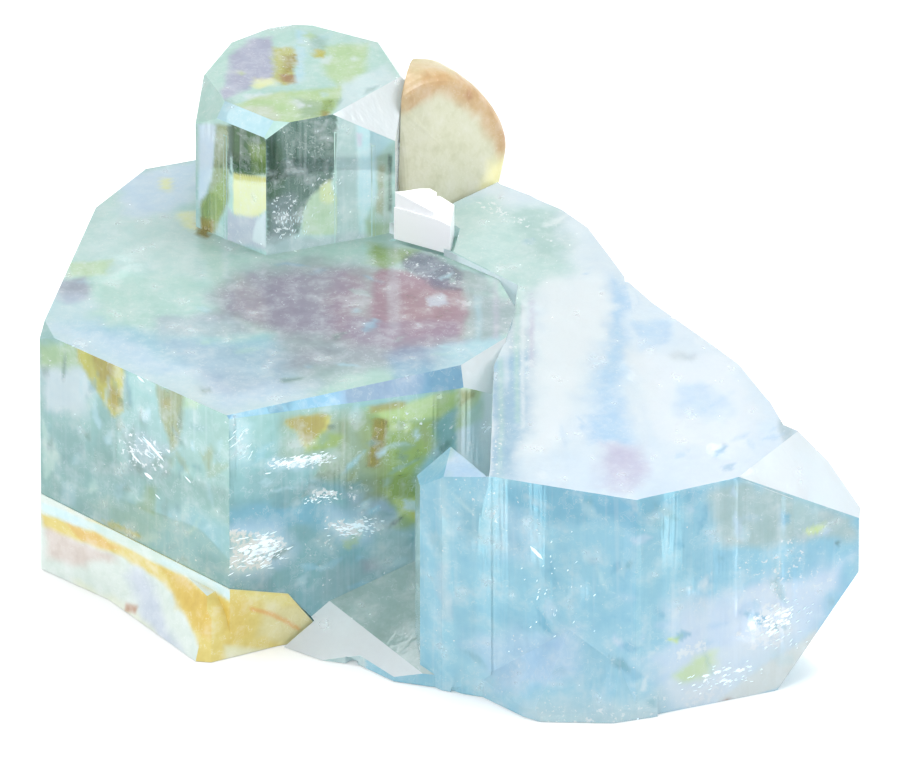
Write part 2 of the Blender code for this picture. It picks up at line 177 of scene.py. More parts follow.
# The studio, in metres and watts
FLOOR_SIDE = 1.5
FLOOR_HEIGHT = -0.00005
LAMPS = [
    # (name, place, size, power)
    ("overhead", (0.05, 0.15, 0.55), 0.5, 2.6),
    ("front_left", (-0.35, -0.4, 0.35), 0.3, 1.5),
    ("right", (0.45, -0.1, 0.3), 0.25, 1.1),
]
LAMP_TARGET = (0.0, 0.0, 0.012)


# Camera and light


def aim(thing, place, target):
    """Put a camera or light in its place and turn it to its target."""
    thing.location = place
    thing.rotation_mode = "QUATERNION"
    thing.rotation_quaternion = (Vector(target) - Vector(place)).to_track_quat("-Z", "Y")


def make_camera():
    """Camera at the photograph's angle, square to the front and above it, far off."""
    data = bpy.data.cameras.new("camera")
    data.lens = VIEW_LENS
    data.sensor_width = 36.0
    data.clip_start = 0.01
    data.clip_end = 20.0
    camera = bpy.data.objects.new("camera", data)
    bpy.context.collection.objects.link(camera)
    elevation = math.radians(VIEW_ELEVATION)
    away = Vector((0.0, -math.cos(elevation), math.sin(elevation)))
    aim(camera, VIEW_TARGET + away * VIEW_DISTANCE, VIEW_TARGET)
    bpy.context.scene.camera = camera


def make_lamp(name, place, size, power):
    """Soft square lamp aimed at the middle of the cluster."""
    data = bpy.data.lights.new(name, "AREA")
    data.shape = "SQUARE"
    data.size = size
    data.energy = power
    lamp = bpy.data.objects.new(name, data)
    bpy.context.collection.objects.link(lamp)
    aim(lamp, place, LAMP_TARGET)


def make_stage():
    """Wide pale floor, a pale sky and soft lamps."""
    corners = [(-1.0, -1.0), (1.0, -1.0), (1.0, 1.0), (-1.0, 1.0)]
    mesh = bpy.data.meshes.new("floor")
    mesh.from_pydata(
        [(x * FLOOR_SIDE, y * FLOOR_SIDE, FLOOR_HEIGHT) for x, y in corners], [], [(0, 1, 2, 3)]
    )
    floor = bpy.data.objects.new("floor", mesh)
    bpy.context.collection.objects.link(floor)
    look = bpy.data.materials.new("floor")
    look.use_nodes = True
    shader = look.node_tree.nodes["Principled BSDF"]
    shader.inputs["Base Color"].default_value = (0.93, 0.93, 0.93, 1.0)
    shader.inputs["Roughness"].default_value = 0.9
    shader.inputs["Specular IOR Level"].default_value = 0.1
    mesh.materials.append(look)

    world = bpy.data.worlds.new("studio")
    world.use_nodes = True
    sky = world.node_tree.nodes["Background"]
    sky.inputs["Color"].default_value = (0.97, 0.985, 1.0, 1.0)
    sky.inputs["Strength"].default_value = 0.8
    bpy.context.scene.world = world

    for lamp in LAMPS:
        make_lamp(*lamp)


# Shader helpers


def tone(red, green, blue):
    """Colour from its screen values of 0 to 255."""
    share = np.array([red, green, blue]) / 255.0
    linear = np.where(share <= 0.04045, share / 12.92, ((share + 0.055) / 1.055) ** 2.4)
    return (*linear.tolist(), 1.0)


def put(tree, kind, inputs=(), **settings):
    """Place a node. Inputs are pairs of a socket and its value, or the socket that feeds it."""
    node = tree.nodes.new(kind)
    for key, value in settings.items():
        setattr(node, key, value)
    for socket, value in inputs:
        if isinstance(value, bpy.types.NodeSocket):
            tree.links.new(value, node.inputs[socket])
        else:
            node.inputs[socket].default_value = value
    return node


def calc(tree, operation, *values, clamp=False):
    """One step of arithmetic."""
    node = put(tree, "ShaderNodeMath", list(enumerate(values)), operation=operation)
    node.use_clamp = clamp
    return node.outputs[0]


def blend(tree, share, first, second, mode="MIX"):
    """Mix two colours."""
    node = put(
        tree, "ShaderNodeMix", [(0, share), (6, first), (7, second)], data_type="RGBA", blend_type=mode
    )
    return node.outputs[2]


def noise(tree, place, scale, detail, roughness=0.5):
    """Value of a soft noise."""
    node = put(
        tree,
        "ShaderNodeTexNoise",
        [("Vector", place), ("Scale", scale), ("Detail", detail), ("Roughness", roughness)],
    )
    return node.outputs[0]


def window(tree, value, low, high):
    """0 below low and 1 above high, straight between them."""
    return calc(tree, "MULTIPLY_ADD", value, 1.0 / (high - low), -low / (high - low), clamp=True)


def new_look(name):
    """Empty material: its tree, its Principled shader and its places in millimetres."""
    look = bpy.data.materials.new(name)
    look.use_nodes = True
    tree = look.node_tree
    shader = tree.nodes["Principled BSDF"]
    place = put(tree, "ShaderNodeTexCoord").outputs["Object"]
    shift = tuple(-CORNER)
    place = put(
        tree,
        "ShaderNodeVectorMath",
        [(0, place), (1, (1.0 / MM,) * 3), (2, shift)],
        operation="MULTIPLY_ADD",
    ).outputs[0]
    return look, tree, shader, place


def cloudy_group():
    """Veils, mottling and hairline cracks over a zone colour, shared by all the minerals."""
    group = bpy.data.node_groups.new("cloudy_mineral", "ShaderNodeTree")
    for name, kind in (
        ("Zone", "NodeSocketColor"), ("Place", "NodeSocketVector"), ("Grain", "NodeSocketFloat"),
        ("Veil", "NodeSocketFloat"), ("Shade", "NodeSocketFloat"), ("Crack", "NodeSocketFloat"),
    ):
        group.interface.new_socket(name, in_out="INPUT", socket_type=kind)
    for name, kind in (
        ("Colour", "NodeSocketColor"), ("Veils", "NodeSocketFloat"), ("Cloud", "NodeSocketFloat"),
    ):
        group.interface.new_socket(name, in_out="OUTPUT", socket_type=kind)
    inside = group.nodes.new("NodeGroupInput").outputs
    cloud = noise(group, inside["Place"], inside["Grain"], 3.0, 0.65)
    veils = window(group, cloud, 0.52, 0.74)
    mottle = window(group, cloud, 0.5, 0.28)
    off_line = calc(group, "ABSOLUTE", calc(group, "SUBTRACT", cloud, 0.515))
    cracks = window(group, off_line, 0.006, 0.0)
    colour = blend(group, calc(group, "MULTIPLY", veils, inside["Veil"]), inside["Zone"], WHITE)
    colour = blend(group, calc(group, "MULTIPLY", mottle, inside["Shade"]), colour, colour, "MULTIPLY")
    colour = blend(group, calc(group, "MULTIPLY", cracks, inside["Crack"]), colour, WHITE)
    outside = group.nodes.new("NodeGroupOutput").inputs
    group.links.new(colour, outside["Colour"])
    group.links.new(veils, outside["Veils"])
    group.links.new(cloud, outside["Cloud"])
    return group


def cloudy(tree, shader, place, grain, veil, shade, crack):
    """Link a material's base colour to its painted zones, seen through the shared clouds."""
    zone = put(tree, "ShaderNodeAttribute", attribute_name="zone").outputs["Color"]
    node = put(tree, "ShaderNodeGroup", node_tree=CLOUDY)
    for name, value in (("Grain", grain), ("Veil", veil), ("Shade", shade), ("Crack", crack)):
        node.inputs[name].default_value = value
    tree.links.new(zone, node.inputs["Zone"])
    tree.links.new(place, node.inputs["Place"])
    tree.links.new(node.outputs["Colour"], shader.inputs["Base Color"])
    return node.outputs


def make_aquamarine():
    """Clear blue-green crystal, cloudy and tinted in zones, with painted glints and growth lines."""
    look, tree, shader, place = new_look("aquamarine")
    clouds = cloudy(tree, shader, place, 0.5, 0.45, 0.3, 0.4)
    growth = put(
        tree, "ShaderNodeVectorMath", [(0, place), (1, (2.4, 2.4, 0.12))], operation="MULTIPLY"
    ).outputs[0]
    lines = noise(tree, growth, 1.0, 1.0, 0.6)
    bump = put(
        tree, "ShaderNodeBump", [("Strength", 0.08), ("Distance", 0.0003), ("Height", lines)]
    )
    tree.links.new(bump.outputs[0], shader.inputs["Normal"])
    bright_lines = calc(tree, "MULTIPLY", window(tree, lines, 0.55, 0.8), 0.16)
    colour = blend(tree, bright_lines, clouds["Colour"], WHITE)
    # Painted glints: white specks where the crystal sparkles, from a painted attribute and a fine noise
    grain = noise(tree, place, 2.6, 3.0, 0.7)
    group = put(tree, "ShaderNodeAttribute", attribute_name="glint_flecks").outputs["Fac"]
    glint_flecks = window(tree, calc(tree, "MULTIPLY_ADD", group, 0.25, grain), 0.69, 0.74)
    colour = blend(tree, glint_flecks, colour, WHITE)
    tree.links.new(colour, shader.inputs["Base Color"])
    tree.links.new(calc(tree, "MULTIPLY_ADD", clouds["Veils"], 0.3, 0.07), shader.inputs["Roughness"])
    shader.inputs["Metallic"].default_value = 0.0
    shader.inputs["Transmission Weight"].default_value = 0.55
    shader.inputs["IOR"].default_value = IOR
    absorb = put(
        tree, "ShaderNodeVolumeAbsorption", [("Color", (0.62, 0.87, 0.93, 1.0)), ("Density", 7.0)]
    )
    tree.links.new(absorb.outputs[0], tree.nodes["Material Output"].inputs["Volume"])
    return look


def make_mineral(name, grain, veil, shade, crack, roughness, transmission, bump_strength):
    """Frosted or milky mineral: painted zones under clouds, with a gently uneven surface."""
    look, tree, shader, place = new_look(name)
    clouds = cloudy(tree, shader, place, grain, veil, shade, crack)
    bump = put(
        tree,
        "ShaderNodeBump",
        [("Strength", bump_strength), ("Distance", 0.0004), ("Height", clouds["Cloud"])],
    )
    tree.links.new(bump.outputs[0], shader.inputs["Normal"])
    shader.inputs["Roughness"].default_value = roughness
    shader.inputs["Transmission Weight"].default_value = transmission
    shader.inputs["IOR"].default_value = IOR
    return look


def make_sliver():
    """White glint of a fracture that reaches the surface."""
    look, tree, shader, place = new_look("bright_sliver")
    colour = blend(tree, noise(tree, place, 0.8, 1.0), WHITE, ICE)
    tree.links.new(colour, shader.inputs["Base Color"])
    shader.inputs["Roughness"].default_value = 0.25
    return look


# Colours of the crystals and their stains
AQUA = tone(185, 218, 214)
SEA = tone(160, 203, 198)
SEA_GREEN = tone(200, 230, 220)
TEAL = tone(132, 184, 192)
GREY_TEAL = tone(128, 168, 174)
SKY = tone(158, 214, 236)
DEEP_SKY = tone(120, 188, 216)
PALE_SKY = tone(178, 216, 234)
POWDER = tone(162, 198, 222)
ICE = tone(200, 232, 242)
CLOUD = tone(236, 244, 252)
LILAC_BLUE = tone(222, 236, 254)
PERIWINKLE = tone(136, 182, 214)
LILAC = tone(192, 190, 212)
GREY_LILAC = tone(174, 170, 192)
MAUVE = tone(168, 146, 172)
WINE = tone(178, 116, 142)
SLATE = tone(122, 116, 142)
ROSE = tone(218, 208, 226)
OLIVE = tone(144, 168, 64)
OLIVE_GREY = tone(150, 160, 112)
MOSS = tone(28, 66, 24)
SHADE_GREEN = tone(80, 106, 94)
MIST = tone(178, 202, 200)
SAGE = tone(184, 206, 202)
DOVE = tone(176, 188, 194)
BABY_BLUE = tone(200, 226, 250)
GREY_GREEN = tone(122, 152, 142)
LEAF = tone(200, 220, 124)
LIME = tone(222, 242, 140)
STRAW = tone(254, 250, 190)
GOLD = tone(204, 194, 78)
AMBER = tone(166, 138, 46)
RUST = tone(178, 128, 88)
DARK = tone(56, 84, 66)
CREAM = tone(226, 226, 212)
PALE_STONE = tone(214, 232, 236)
WHITE = tone(250, 252, 255)

# Colours of the yellow crystal and the matrix
PANEL = tone(208, 210, 184)
TAN = tone(196, 160, 112)
PEACH = tone(204, 192, 152)
MILK = tone(216, 228, 222)
MILK_BLUE = tone(196, 206, 222)
BLUSH = tone(212, 196, 188)
BUTTER = tone(220, 204, 122)
HONEY = tone(214, 184, 84)
APRICOT = tone(222, 170, 96)
SHELL = tone(226, 232, 212)
STRAW_STONE = tone(222, 214, 140)
FROST = tone(252, 253, 255)


# Zones painted on the pieces


def along(heading):
    """Level direction at a heading in degrees from x."""
    turn = math.radians(heading)
    return np.array([math.cos(turn), math.sin(turn), 0.0])


RIGHT = np.array([1.0, 0.0, 0.0])
BACK = np.array([0.0, 1.0, 0.0])
UP = np.array([0.0, 0.0, 1.0])
TO_CAMERA = 0.5 * UP - 0.87 * BACK


def upright(x, y, heading, off_plane=0.8, least=0.97):
    """Face that stands upright from the start of its foot, along its heading."""
    return np.array([x, y, 0.0]), along(heading), UP, off_plane, least


def level(height, off_plane=0.35, back=BACK):
    """Face that lies level at a height, or nearly so."""
    return np.array([0.0, 0.0, height]), RIGHT, back, off_plane, 0.9994


# Faces that marks lie on: a corner, the way along, the way up, how far off its plane a facet may
# lie, and how far its normal may turn from the face's, as the least cosine.
FACES = {
    "left": upright(*LEFT_FOOT, LEFT_FACE, 0.6, 0.995),
    "right": upright(*RIGHT_FOOT, RIGHT_FACE, 0.6, 0.995),
    "stub_left": upright(-2.64, 27.9, -39.53, 0.6),
    "stub_right": upright(2.57, 23.6, 20.28, 0.6),
    "stem": upright(16.9, 6.3, 30.0),
    "tip_front": upright(15.5, -5.2, TIP_FRONT),
    "blue_left": upright(TIP_END, -6.15, TIP_FACE),
    "blue_right": upright(FRONT_BEND, -9.13, END_FACE),
    "blue_front": upright(0.0, -6.2, 0.0, 4.3, 0.6),
    "top": level(MAIN_TOP),
    "stub_top": level(STUB_TOP),
    "blue_top": level(BLUE_TOP, 1.3, BLUE_TOP_BACK),
    "bevel": (
        np.array([10.1, 4.1, 19.6]), along(RIGHT_FACE), np.array([-0.227, 0.609, 0.761]), 0.4, 0.98,
    ),
    "matrix_left": upright(*LEFT_FOOT, LEFT_FACE, 3.0, 0.6),
    "matrix_right": upright(*RIGHT_FOOT, RIGHT_FACE, 3.0, 0.6),
    "panel": upright(*SLAB_START, SLAB_HEADING, 9.0, 0.05),
}

# Broad zones that run through the aquamarine: (centre, reach, soft share of the reach, colour)
BODIES = [
    ((3.0, 14.0, 10.0), (19.0, 18.0, 14.0), 0.5, SEA),
    ((31.0, 0.0, 8.0), (14.0, 13.0, 14.0), 0.4, SKY),
    ((30.0, 14.0, 12.0), (10.0, 10.0, 12.0), 0.6, LILAC_BLUE),
    ((5.0, 31.0, 27.0), (9.0, 9.0, 6.5), 0.5, SEA_GREEN),
    ((-4.0, 30.0, 8.0), (6.0, 6.0, 8.0), 0.8, POWDER),
    ((16.0, 36.0, 9.0), (8.0, 6.0, 6.0), 0.8, SEA_GREEN),
    ((36.0, 10.0, 4.0), (5.0, 7.0, 5.0), 0.8, CLOUD),
    ((8.0, 44.0, 5.0), (9.0, 4.0, 4.0), 0.8, LILAC_BLUE),
    ((17.5, -3.5, 17.6), (3.0, 3.0, 1.8), 0.4, BABY_BLUE),
    ((12.0, -3.5, 0.4), (6.0, 4.5, 1.8), 0.5, PALE_STONE),
]

YELLOW_BODIES = [((13.0, 31.0, 26.0), (3.0, 3.0, 5.0), 0.8, TAN)]
WHITE_BODIES = [((15.5, 25.0, 22.0), (2.0, 2.0, 2.5), 0.9, WHITE)]
MATRIX_BODIES = [((-2.0, 8.0, 6.0), (8.0, 8.0, 2.4), 0.5, BUTTER)]

# Whole facets: (normal, a point on it, colour)
FACETS = [
    ((0.30, -0.70, 0.65), (10.1, 4.1, 19.6), PERIWINKLE),
    # Painted highlights: the next two facets face up and to the right, and are painted white where they
    # reflect the light
    ((0.65, -0.52, 0.55), (19.0, 9.1, 19.2), WHITE),
    ((0.61, -0.53, 0.59), (11.2, 28.7, 30.1), WHITE),
    ((-0.71, -0.26, 0.65), (-1.6, 29.0, 30.3), SEA_GREEN),
    ((-0.44, -0.54, 0.72), (1.0, 25.6, 30.5), ICE),
    # Painted light: the next four facets, the stub's right side and the narrow faces beside the tip, lie in
    # shade and are painted white and near white to lift it
    ((0.98, -0.18, 0.0), (12.5, 29.7, 26.2), WHITE),
    ((0.51, -0.86, 0.0), (17.9, 6.9, 14.7), CLOUD),
    ((-0.65, -0.76, 0.0), (19.4, 20.4, 15.2), CLOUD),
    ((0.99, -0.16, 0.0), (20.5, 13.6, 15.0), CLOUD),
    # Painted highlight: this facet faces up and to the right, and is painted white where it reflects the
    # light
    ((0.57, -0.46, 0.68), (42.8, -2.4, 16.1), WHITE),
    ((-0.15, -0.39, 0.91), (13.2, -0.7, 2.5), SAGE),
    ((-0.37, -0.55, 0.74), (8.2, -0.7, 0.9), WHITE),
    ((-0.70, -0.02, 0.71), (15.2, -3.3, 17.7), SKY),
]
MATRIX_FACETS = [
    ((-0.14, -0.24, 0.96), (-2.9, 7.1, 5.5), SHELL),
    ((0.22, 0.19, 0.96), (-4.8, 11.3, 3.9), SHELL),
]

# Marks: (colour, strength, soft edge, raggedness, outline). The soft edge and the raggedness are in
# millimetres. The outline is picked in the enlarged view of the mark's face, in pixels across
# and down from the view's top left.

# A flash on the right face, white and flecked
FLASH = [(500, 690), (560, 700), (710, 710), (700, 790), (620, 800), (540, 750)]
# The amber stain on the right face
AMBER_STAIN = [(752, 200), (832, 200), (812, 300), (775, 440), (722, 440), (750, 310)]
# The cream chip on the blue front
CREAM_CHIP = [(1045, 872), (1385, 636), (1290, 820), (1085, 885)]

# On the main crystal's left face
LEFT_MARKS = [
    (CLOUD, 0.8, 1.4, 0.5, [(60, 210), (230, 205), (310, 330), (260, 420), (60, 400)]),
    (LEAF, 0.55, 1.0, 0.4, [(50, 90), (230, 110), (240, 215), (50, 210)]),
    (GREY_TEAL, 0.3, 2.2, 0.8, [(110, 470), (340, 500), (420, 640), (520, 780), (520, 960), (100, 850)]),
    (LILAC, 0.45, 1.4, 0.5, [(440, 520), (640, 560), (640, 700), (460, 700)]),
    (SEA_GREEN, 0.25, 1.6, 0.5, [(720, 340), (915, 440), (915, 720), (700, 640)]),
    (SKY, 0.45, 2.2, 0.7, [(640, 860), (925, 960), (925, 1230), (780, 1150), (560, 1040)]),
    (TEAL, 0.6, 1.2, 0.5, [(780, 1040), (925, 1110), (925, 1240), (790, 1150)]),
    (SEA_GREEN, 0.9, 0.25, 0.1, [(62, 445), (155, 640), (66, 745)]),
    (ICE, 0.6, 0.7, 0.3, [(150, 750), (215, 760), (205, 850), (140, 860)]),
    (GOLD, 1.0, 0.4, 0.3, [(225, 120), (330, 110), (450, 205), (425, 330), (440, 415), (385, 445),
        (300, 310), (230, 200)]),
    (AMBER, 0.7, 0.5, 0.25, [(290, 140), (400, 190), (390, 260), (330, 290), (300, 220)]),
    (AMBER, 0.7, 0.4, 0.2, [(360, 300), (430, 330), (400, 420), (375, 390)]),
    # Painted shadow: a dark patch at the right edge of the gold wedge
    (DARK, 0.6, 0.35, 0.15, [(405, 340), (440, 370), (435, 415), (410, 385)]),
    (GREY_TEAL, 0.9, 0.25, 0.1, [(437, 215), (450, 220), (480, 395), (462, 400)]),
    (GREY_GREEN, 0.27, 2.5, 0.8, [(330, 420), (925, 440), (925, 900), (600, 800), (330, 700)]),
    (OLIVE_GREY, 1.0, 0.5, 0.3, [(585, 285), (720, 310), (715, 430), (690, 560), (645, 600), (612, 450)]),
    (AMBER, 0.5, 0.4, 0.2, [(615, 350), (660, 350), (650, 400), (615, 390)]),
    (OLIVE, 0.5, 0.6, 0.3, [(550, 755), (595, 760), (570, 885), (500, 850)]),
    (LEAF, 0.4, 0.7, 0.3, [(720, 350), (790, 370), (780, 420), (720, 410)]),
    (GOLD, 0.8, 0.3, 0.15, [(335, 912), (385, 918), (525, 985), (500, 1002), (370, 948)]),
]
# On the main crystal's right face
RIGHT_MARKS = [
    (DEEP_SKY, 0.7, 1.2, 0.5, [(30, 620), (420, 620), (640, 700), (560, 760), (330, 720), (300, 800),
        (40, 760)]),
    (TEAL, 0.6, 1.6, 0.7, [(30, 300), (420, 330), (620, 420), (620, 600), (30, 640)]),
    (DOVE, 0.35, 2.0, 0.7, [(540, 930), (965, 840), (965, 1260), (820, 1250), (440, 1150)]),
    (MAUVE, 0.5, 0.8, 0.3, [(690, 920), (770, 900), (780, 960), (720, 980)]),
    (GREY_TEAL, 0.5, 1.0, 0.4, [(130, 450), (340, 460), (340, 580), (130, 570)]),
    (DEEP_SKY, 0.5, 1.0, 0.4, [(150, 670), (420, 650), (430, 740), (200, 750)]),
    (LILAC, 0.4, 1.8, 0.6, [(600, 540), (840, 540), (830, 770), (720, 700), (610, 640)]),
    (ICE, 0.6, 1.0, 0.4, [(26, 190), (150, 210), (130, 420), (30, 450)]),
    (BABY_BLUE, 0.7, 1.4, 0.4, [(24, 740), (260, 700), (360, 860), (200, 1000), (24, 1010)]),
    # Painted glint: pale ice where the white flecks sparkle
    (ICE, 0.9, 0.7, 0.4, [(24, 790), (200, 750), (310, 830), (200, 960), (24, 980)]),
    (BABY_BLUE, 0.7, 1.4, 0.4, [(480, 660), (560, 660), (760, 700), (740, 830), (600, 830)]),
    # Painted glint: pale ice under the flash
    (ICE, 0.9, 0.7, 0.4, FLASH),
    # Painted glint: pale blue where the white flecks sparkle
    (BABY_BLUE, 0.6, 0.8, 0.4, [(225, 395), (545, 365), (520, 410), (360, 450), (220, 440)]),
    # Painted light: lifts the shade that the tip crystal casts on this part of the face
    (SAGE, 0.5, 1.6, 0.6, [(740, 690), (970, 690), (970, 950), (740, 950)]),
    (OLIVE, 0.95, 1.3, 0.6, [(690, 160), (1080, 180), (1080, 300), (990, 440), (975, 760), (850, 750),
        (830, 600), (720, 500)]),
    (LEAF, 0.8, 0.8, 0.4, [(850, 590), (975, 590), (970, 730), (860, 710)]),
    (LEAF, 0.85, 0.6, 0.3, [(720, 140), (1000, 80), (1190, 48), (1190, 120), (1100, 190), (800, 200)]),
    (OLIVE_GREY, 0.75, 1.4, 0.5, [(540, 200), (740, 180), (840, 600), (700, 560), (480, 480), (470, 400),
        (560, 370)]),
    (OLIVE_GREY, 0.5, 0.8, 0.3, [(280, 180), (640, 130), (640, 330), (500, 420), (280, 380)]),
    (GOLD, 1.0, 0.4, 0.3, [(300, 205), (525, 165), (530, 240), (480, 300), (400, 345), (330, 260)]),
    (AMBER, 0.85, 0.4, 0.2, [(300, 205), (505, 170), (505, 235), (440, 300), (395, 320), (335, 250)]),
    (OLIVE, 0.9, 0.5, 0.25, [(480, 250), (605, 280), (560, 330), (400, 365), (410, 330)]),
    (DARK, 0.7, 0.3, 0.1, [(522, 225), (552, 225), (552, 250), (522, 250)]),
    (AMBER, 0.7, 0.4, 0.2, [(735, 132), (925, 98), (915, 130), (740, 172)]),
    (AMBER, 0.95, 0.35, 0.15, AMBER_STAIN),
    (MOSS, 0.25, 0.4, 0.2, AMBER_STAIN),
    (GOLD, 0.6, 0.4, 0.2, [(930, 650), (980, 650), (975, 700), (935, 700)]),
]
# On the narrow face beside the tip, which lies in shade: it is painted near white, and its green stain
# lighter, as painted light for the light that comes through the crystal
STEM_MARKS = [
    (WHITE, 1.0, 0.3, 0.1, [(1180, 40), (1400, 40), (1400, 700), (1180, 700)]),
    (LEAF, 0.7, 0.8, 0.3, [(1180, 40), (1300, 40), (1300, 200), (1180, 260)]),
    (AMBER, 0.6, 0.4, 0.2, [(1195, 55), (1270, 60), (1265, 95), (1195, 130)]),
    (ICE, 0.5, 0.8, 0.3, [(1230, 150), (1300, 100), (1300, 420), (1230, 420)]),
]
# On the main crystal's top
TOP_MARKS = [
    (CLOUD, 0.3, 2.5, 0.6, [(130, 150), (520, 200), (560, 420), (90, 400)]),
    (LILAC_BLUE, 0.9, 2.0, 0.6, [(245, 80), (380, 50), (505, 30), (505, 160), (350, 205), (260, 200)]),
    (STRAW, 0.9, 0.4, 0.2, [(392, 85), (428, 88), (422, 128), (395, 122)]),
    (STRAW, 0.85, 0.7, 0.3, [(440, 200), (505, 195), (510, 262), (470, 250)]),
    (AMBER, 0.9, 0.3, 0.15, [(508, 235), (550, 255), (548, 288), (508, 275)]),
    (GREY_LILAC, 0.8, 0.9, 0.5, [(45, 430), (150, 415), (155, 490), (80, 505), (48, 490)]),
    (LEAF, 0.45, 0.8, 0.4, [(90, 365), (225, 365), (225, 412), (90, 412)]),
    (LILAC, 0.5, 1.2, 0.6, [(370, 555), (600, 535), (720, 610), (400, 605)]),
    (MAUVE, 0.85, 4.0, 0.8, [(560, 470), (700, 395), (850, 370), (1040, 370), (1040, 610), (800, 610),
        (640, 565), (560, 530)]),
    (LILAC_BLUE, 0.5, 2.0, 0.6, [(20, 480), (160, 480), (200, 600), (20, 600)]),
    (PALE_SKY, 0.9, 2.6, 0.7, [(90, 555), (400, 605), (800, 625), (820, 745), (560, 745), (300, 720),
        (130, 620)]),
    (POWDER, 0.7, 1.6, 0.5, [(500, 720), (800, 745), (850, 810), (600, 850)]),
    (DOVE, 0.7, 2.0, 0.6, [(820, 640), (1260, 620), (1260, 700), (860, 775)]),
    (LILAC_BLUE, 0.6, 2.0, 0.6, [(40, 560), (330, 640), (640, 790), (900, 760), (900, 840), (600, 880),
        (300, 760), (20, 640)]),
    (LILAC, 0.35, 2.5, 0.6, [(380, 600), (900, 680), (860, 790), (560, 800)]),
    (PERIWINKLE, 0.8, 1.2, 0.4, [(1130, 660), (1500, 610), (1500, 720), (1150, 760)]),
    (POWDER, 0.8, 1.0, 0.4, [(1150, 650), (1420, 620), (1420, 720), (1150, 760)]),
    (ICE, 0.9, 1.0, 0.4, [(1280, 640), (1500, 600), (1545, 640), (1400, 730), (1280, 730)]),
    (DOVE, 0.85, 1.4, 0.5, [(1400, 455), (1565, 500), (1565, 600), (1400, 620)]),
    (WINE, 0.5, 2.6, 0.5, [(985, 400), (1130, 385), (1200, 400), (1395, 450), (1400, 520), (1382, 625),
        (1150, 655), (960, 620), (960, 500)]),
    (WINE, 0.65, 0.7, 0.3, [(1120, 385), (1200, 400), (1395, 450), (1400, 520), (1382, 605), (1150, 625),
        (1080, 560), (1090, 450)]),
    (MAUVE, 0.4, 3.0, 0.6, [(760, 600), (1330, 600), (1300, 700), (800, 720)]),
    (MAUVE, 0.5, 1.0, 0.4, [(1010, 560), (1380, 560), (1370, 620), (1150, 650), (1000, 610)]),
    (SLATE, 0.85, 0.9, 0.4, [(1190, 338), (1285, 325), (1405, 398), (1395, 462), (1290, 452), (1200, 392)]),
    (DOVE, 0.8, 0.6, 0.3, [(1385, 392), (1475, 410), (1505, 475), (1400, 462)]),
    (LILAC_BLUE, 0.6, 0.2, 0.15, [(1268, 490), (1330, 468), (1338, 505), (1275, 514)]),
    (OLIVE, 0.8, 1.0, 0.4, [(1075, 305), (1255, 322), (1175, 372), (1130, 388), (1088, 370)]),
    (CLOUD, 0.25, 0.35, 0.05, [(1140, 265), (1182, 265), (1180, 610), (1142, 610)]),
    (CLOUD, 0.5, 0.4, 0.15, [(590, 270), (620, 280), (616, 420), (598, 420)]),
    (ICE, 0.5, 0.4, 0.1, [(1430, 480), (1450, 480), (1446, 640), (1426, 640)]),
    (ROSE, 0.5, 0.4, 0.1, [(1490, 420), (1510, 420), (1506, 620), (1486, 620)]),
]
# On the stub's left face
STUB_LEFT_MARKS = [
    (LILAC_BLUE, 1.0, 0.3, 0.1, [(60, 685), (175, 685), (150, 980), (110, 1150), (60, 1220)]),
    (OLIVE_GREY, 1.0, 0.35, 0.15, [(175, 685), (262, 685), (250, 1180), (165, 1400), (60, 1400),
        (68, 1200), (125, 1150), (150, 980)]),
    (OLIVE, 0.7, 0.5, 0.2, [(80, 1190), (240, 1000), (240, 1180), (160, 1380), (70, 1300)]),
    (AMBER, 0.9, 0.35, 0.15, [(60, 1280), (155, 1310), (150, 1440), (60, 1400)]),
    (MOSS, 1.0, 0.15, 0.05, [(268, 680), (420, 690), (520, 800), (515, 1012), (285, 1012)]),
    (OLIVE, 0.35, 0.6, 0.2, [(400, 800), (515, 820), (515, 1000), (420, 1000)]),
    (DARK, 0.95, 0.2, 0.08, [(254, 690), (280, 690), (288, 830), (274, 900), (270, 980), (290, 1035),
        (262, 1000), (246, 930), (258, 830)]),
    (STRAW, 1.0, 0.15, 0.05, [(285, 1012), (505, 1022), (505, 1250), (420, 1300), (290, 1270)]),
    (GOLD, 0.8, 0.3, 0.1, [(285, 1012), (505, 1018), (505, 1060), (290, 1050)]),
    (LILAC, 0.9, 0.6, 0.2, [(245, 1220), (290, 1270), (420, 1290), (505, 1280), (505, 1500), (245, 1480)]),
    (CLOUD, 0.9, 0.2, 0.1, [(430, 1330), (503, 1240), (503, 1480), (420, 1450)]),
]
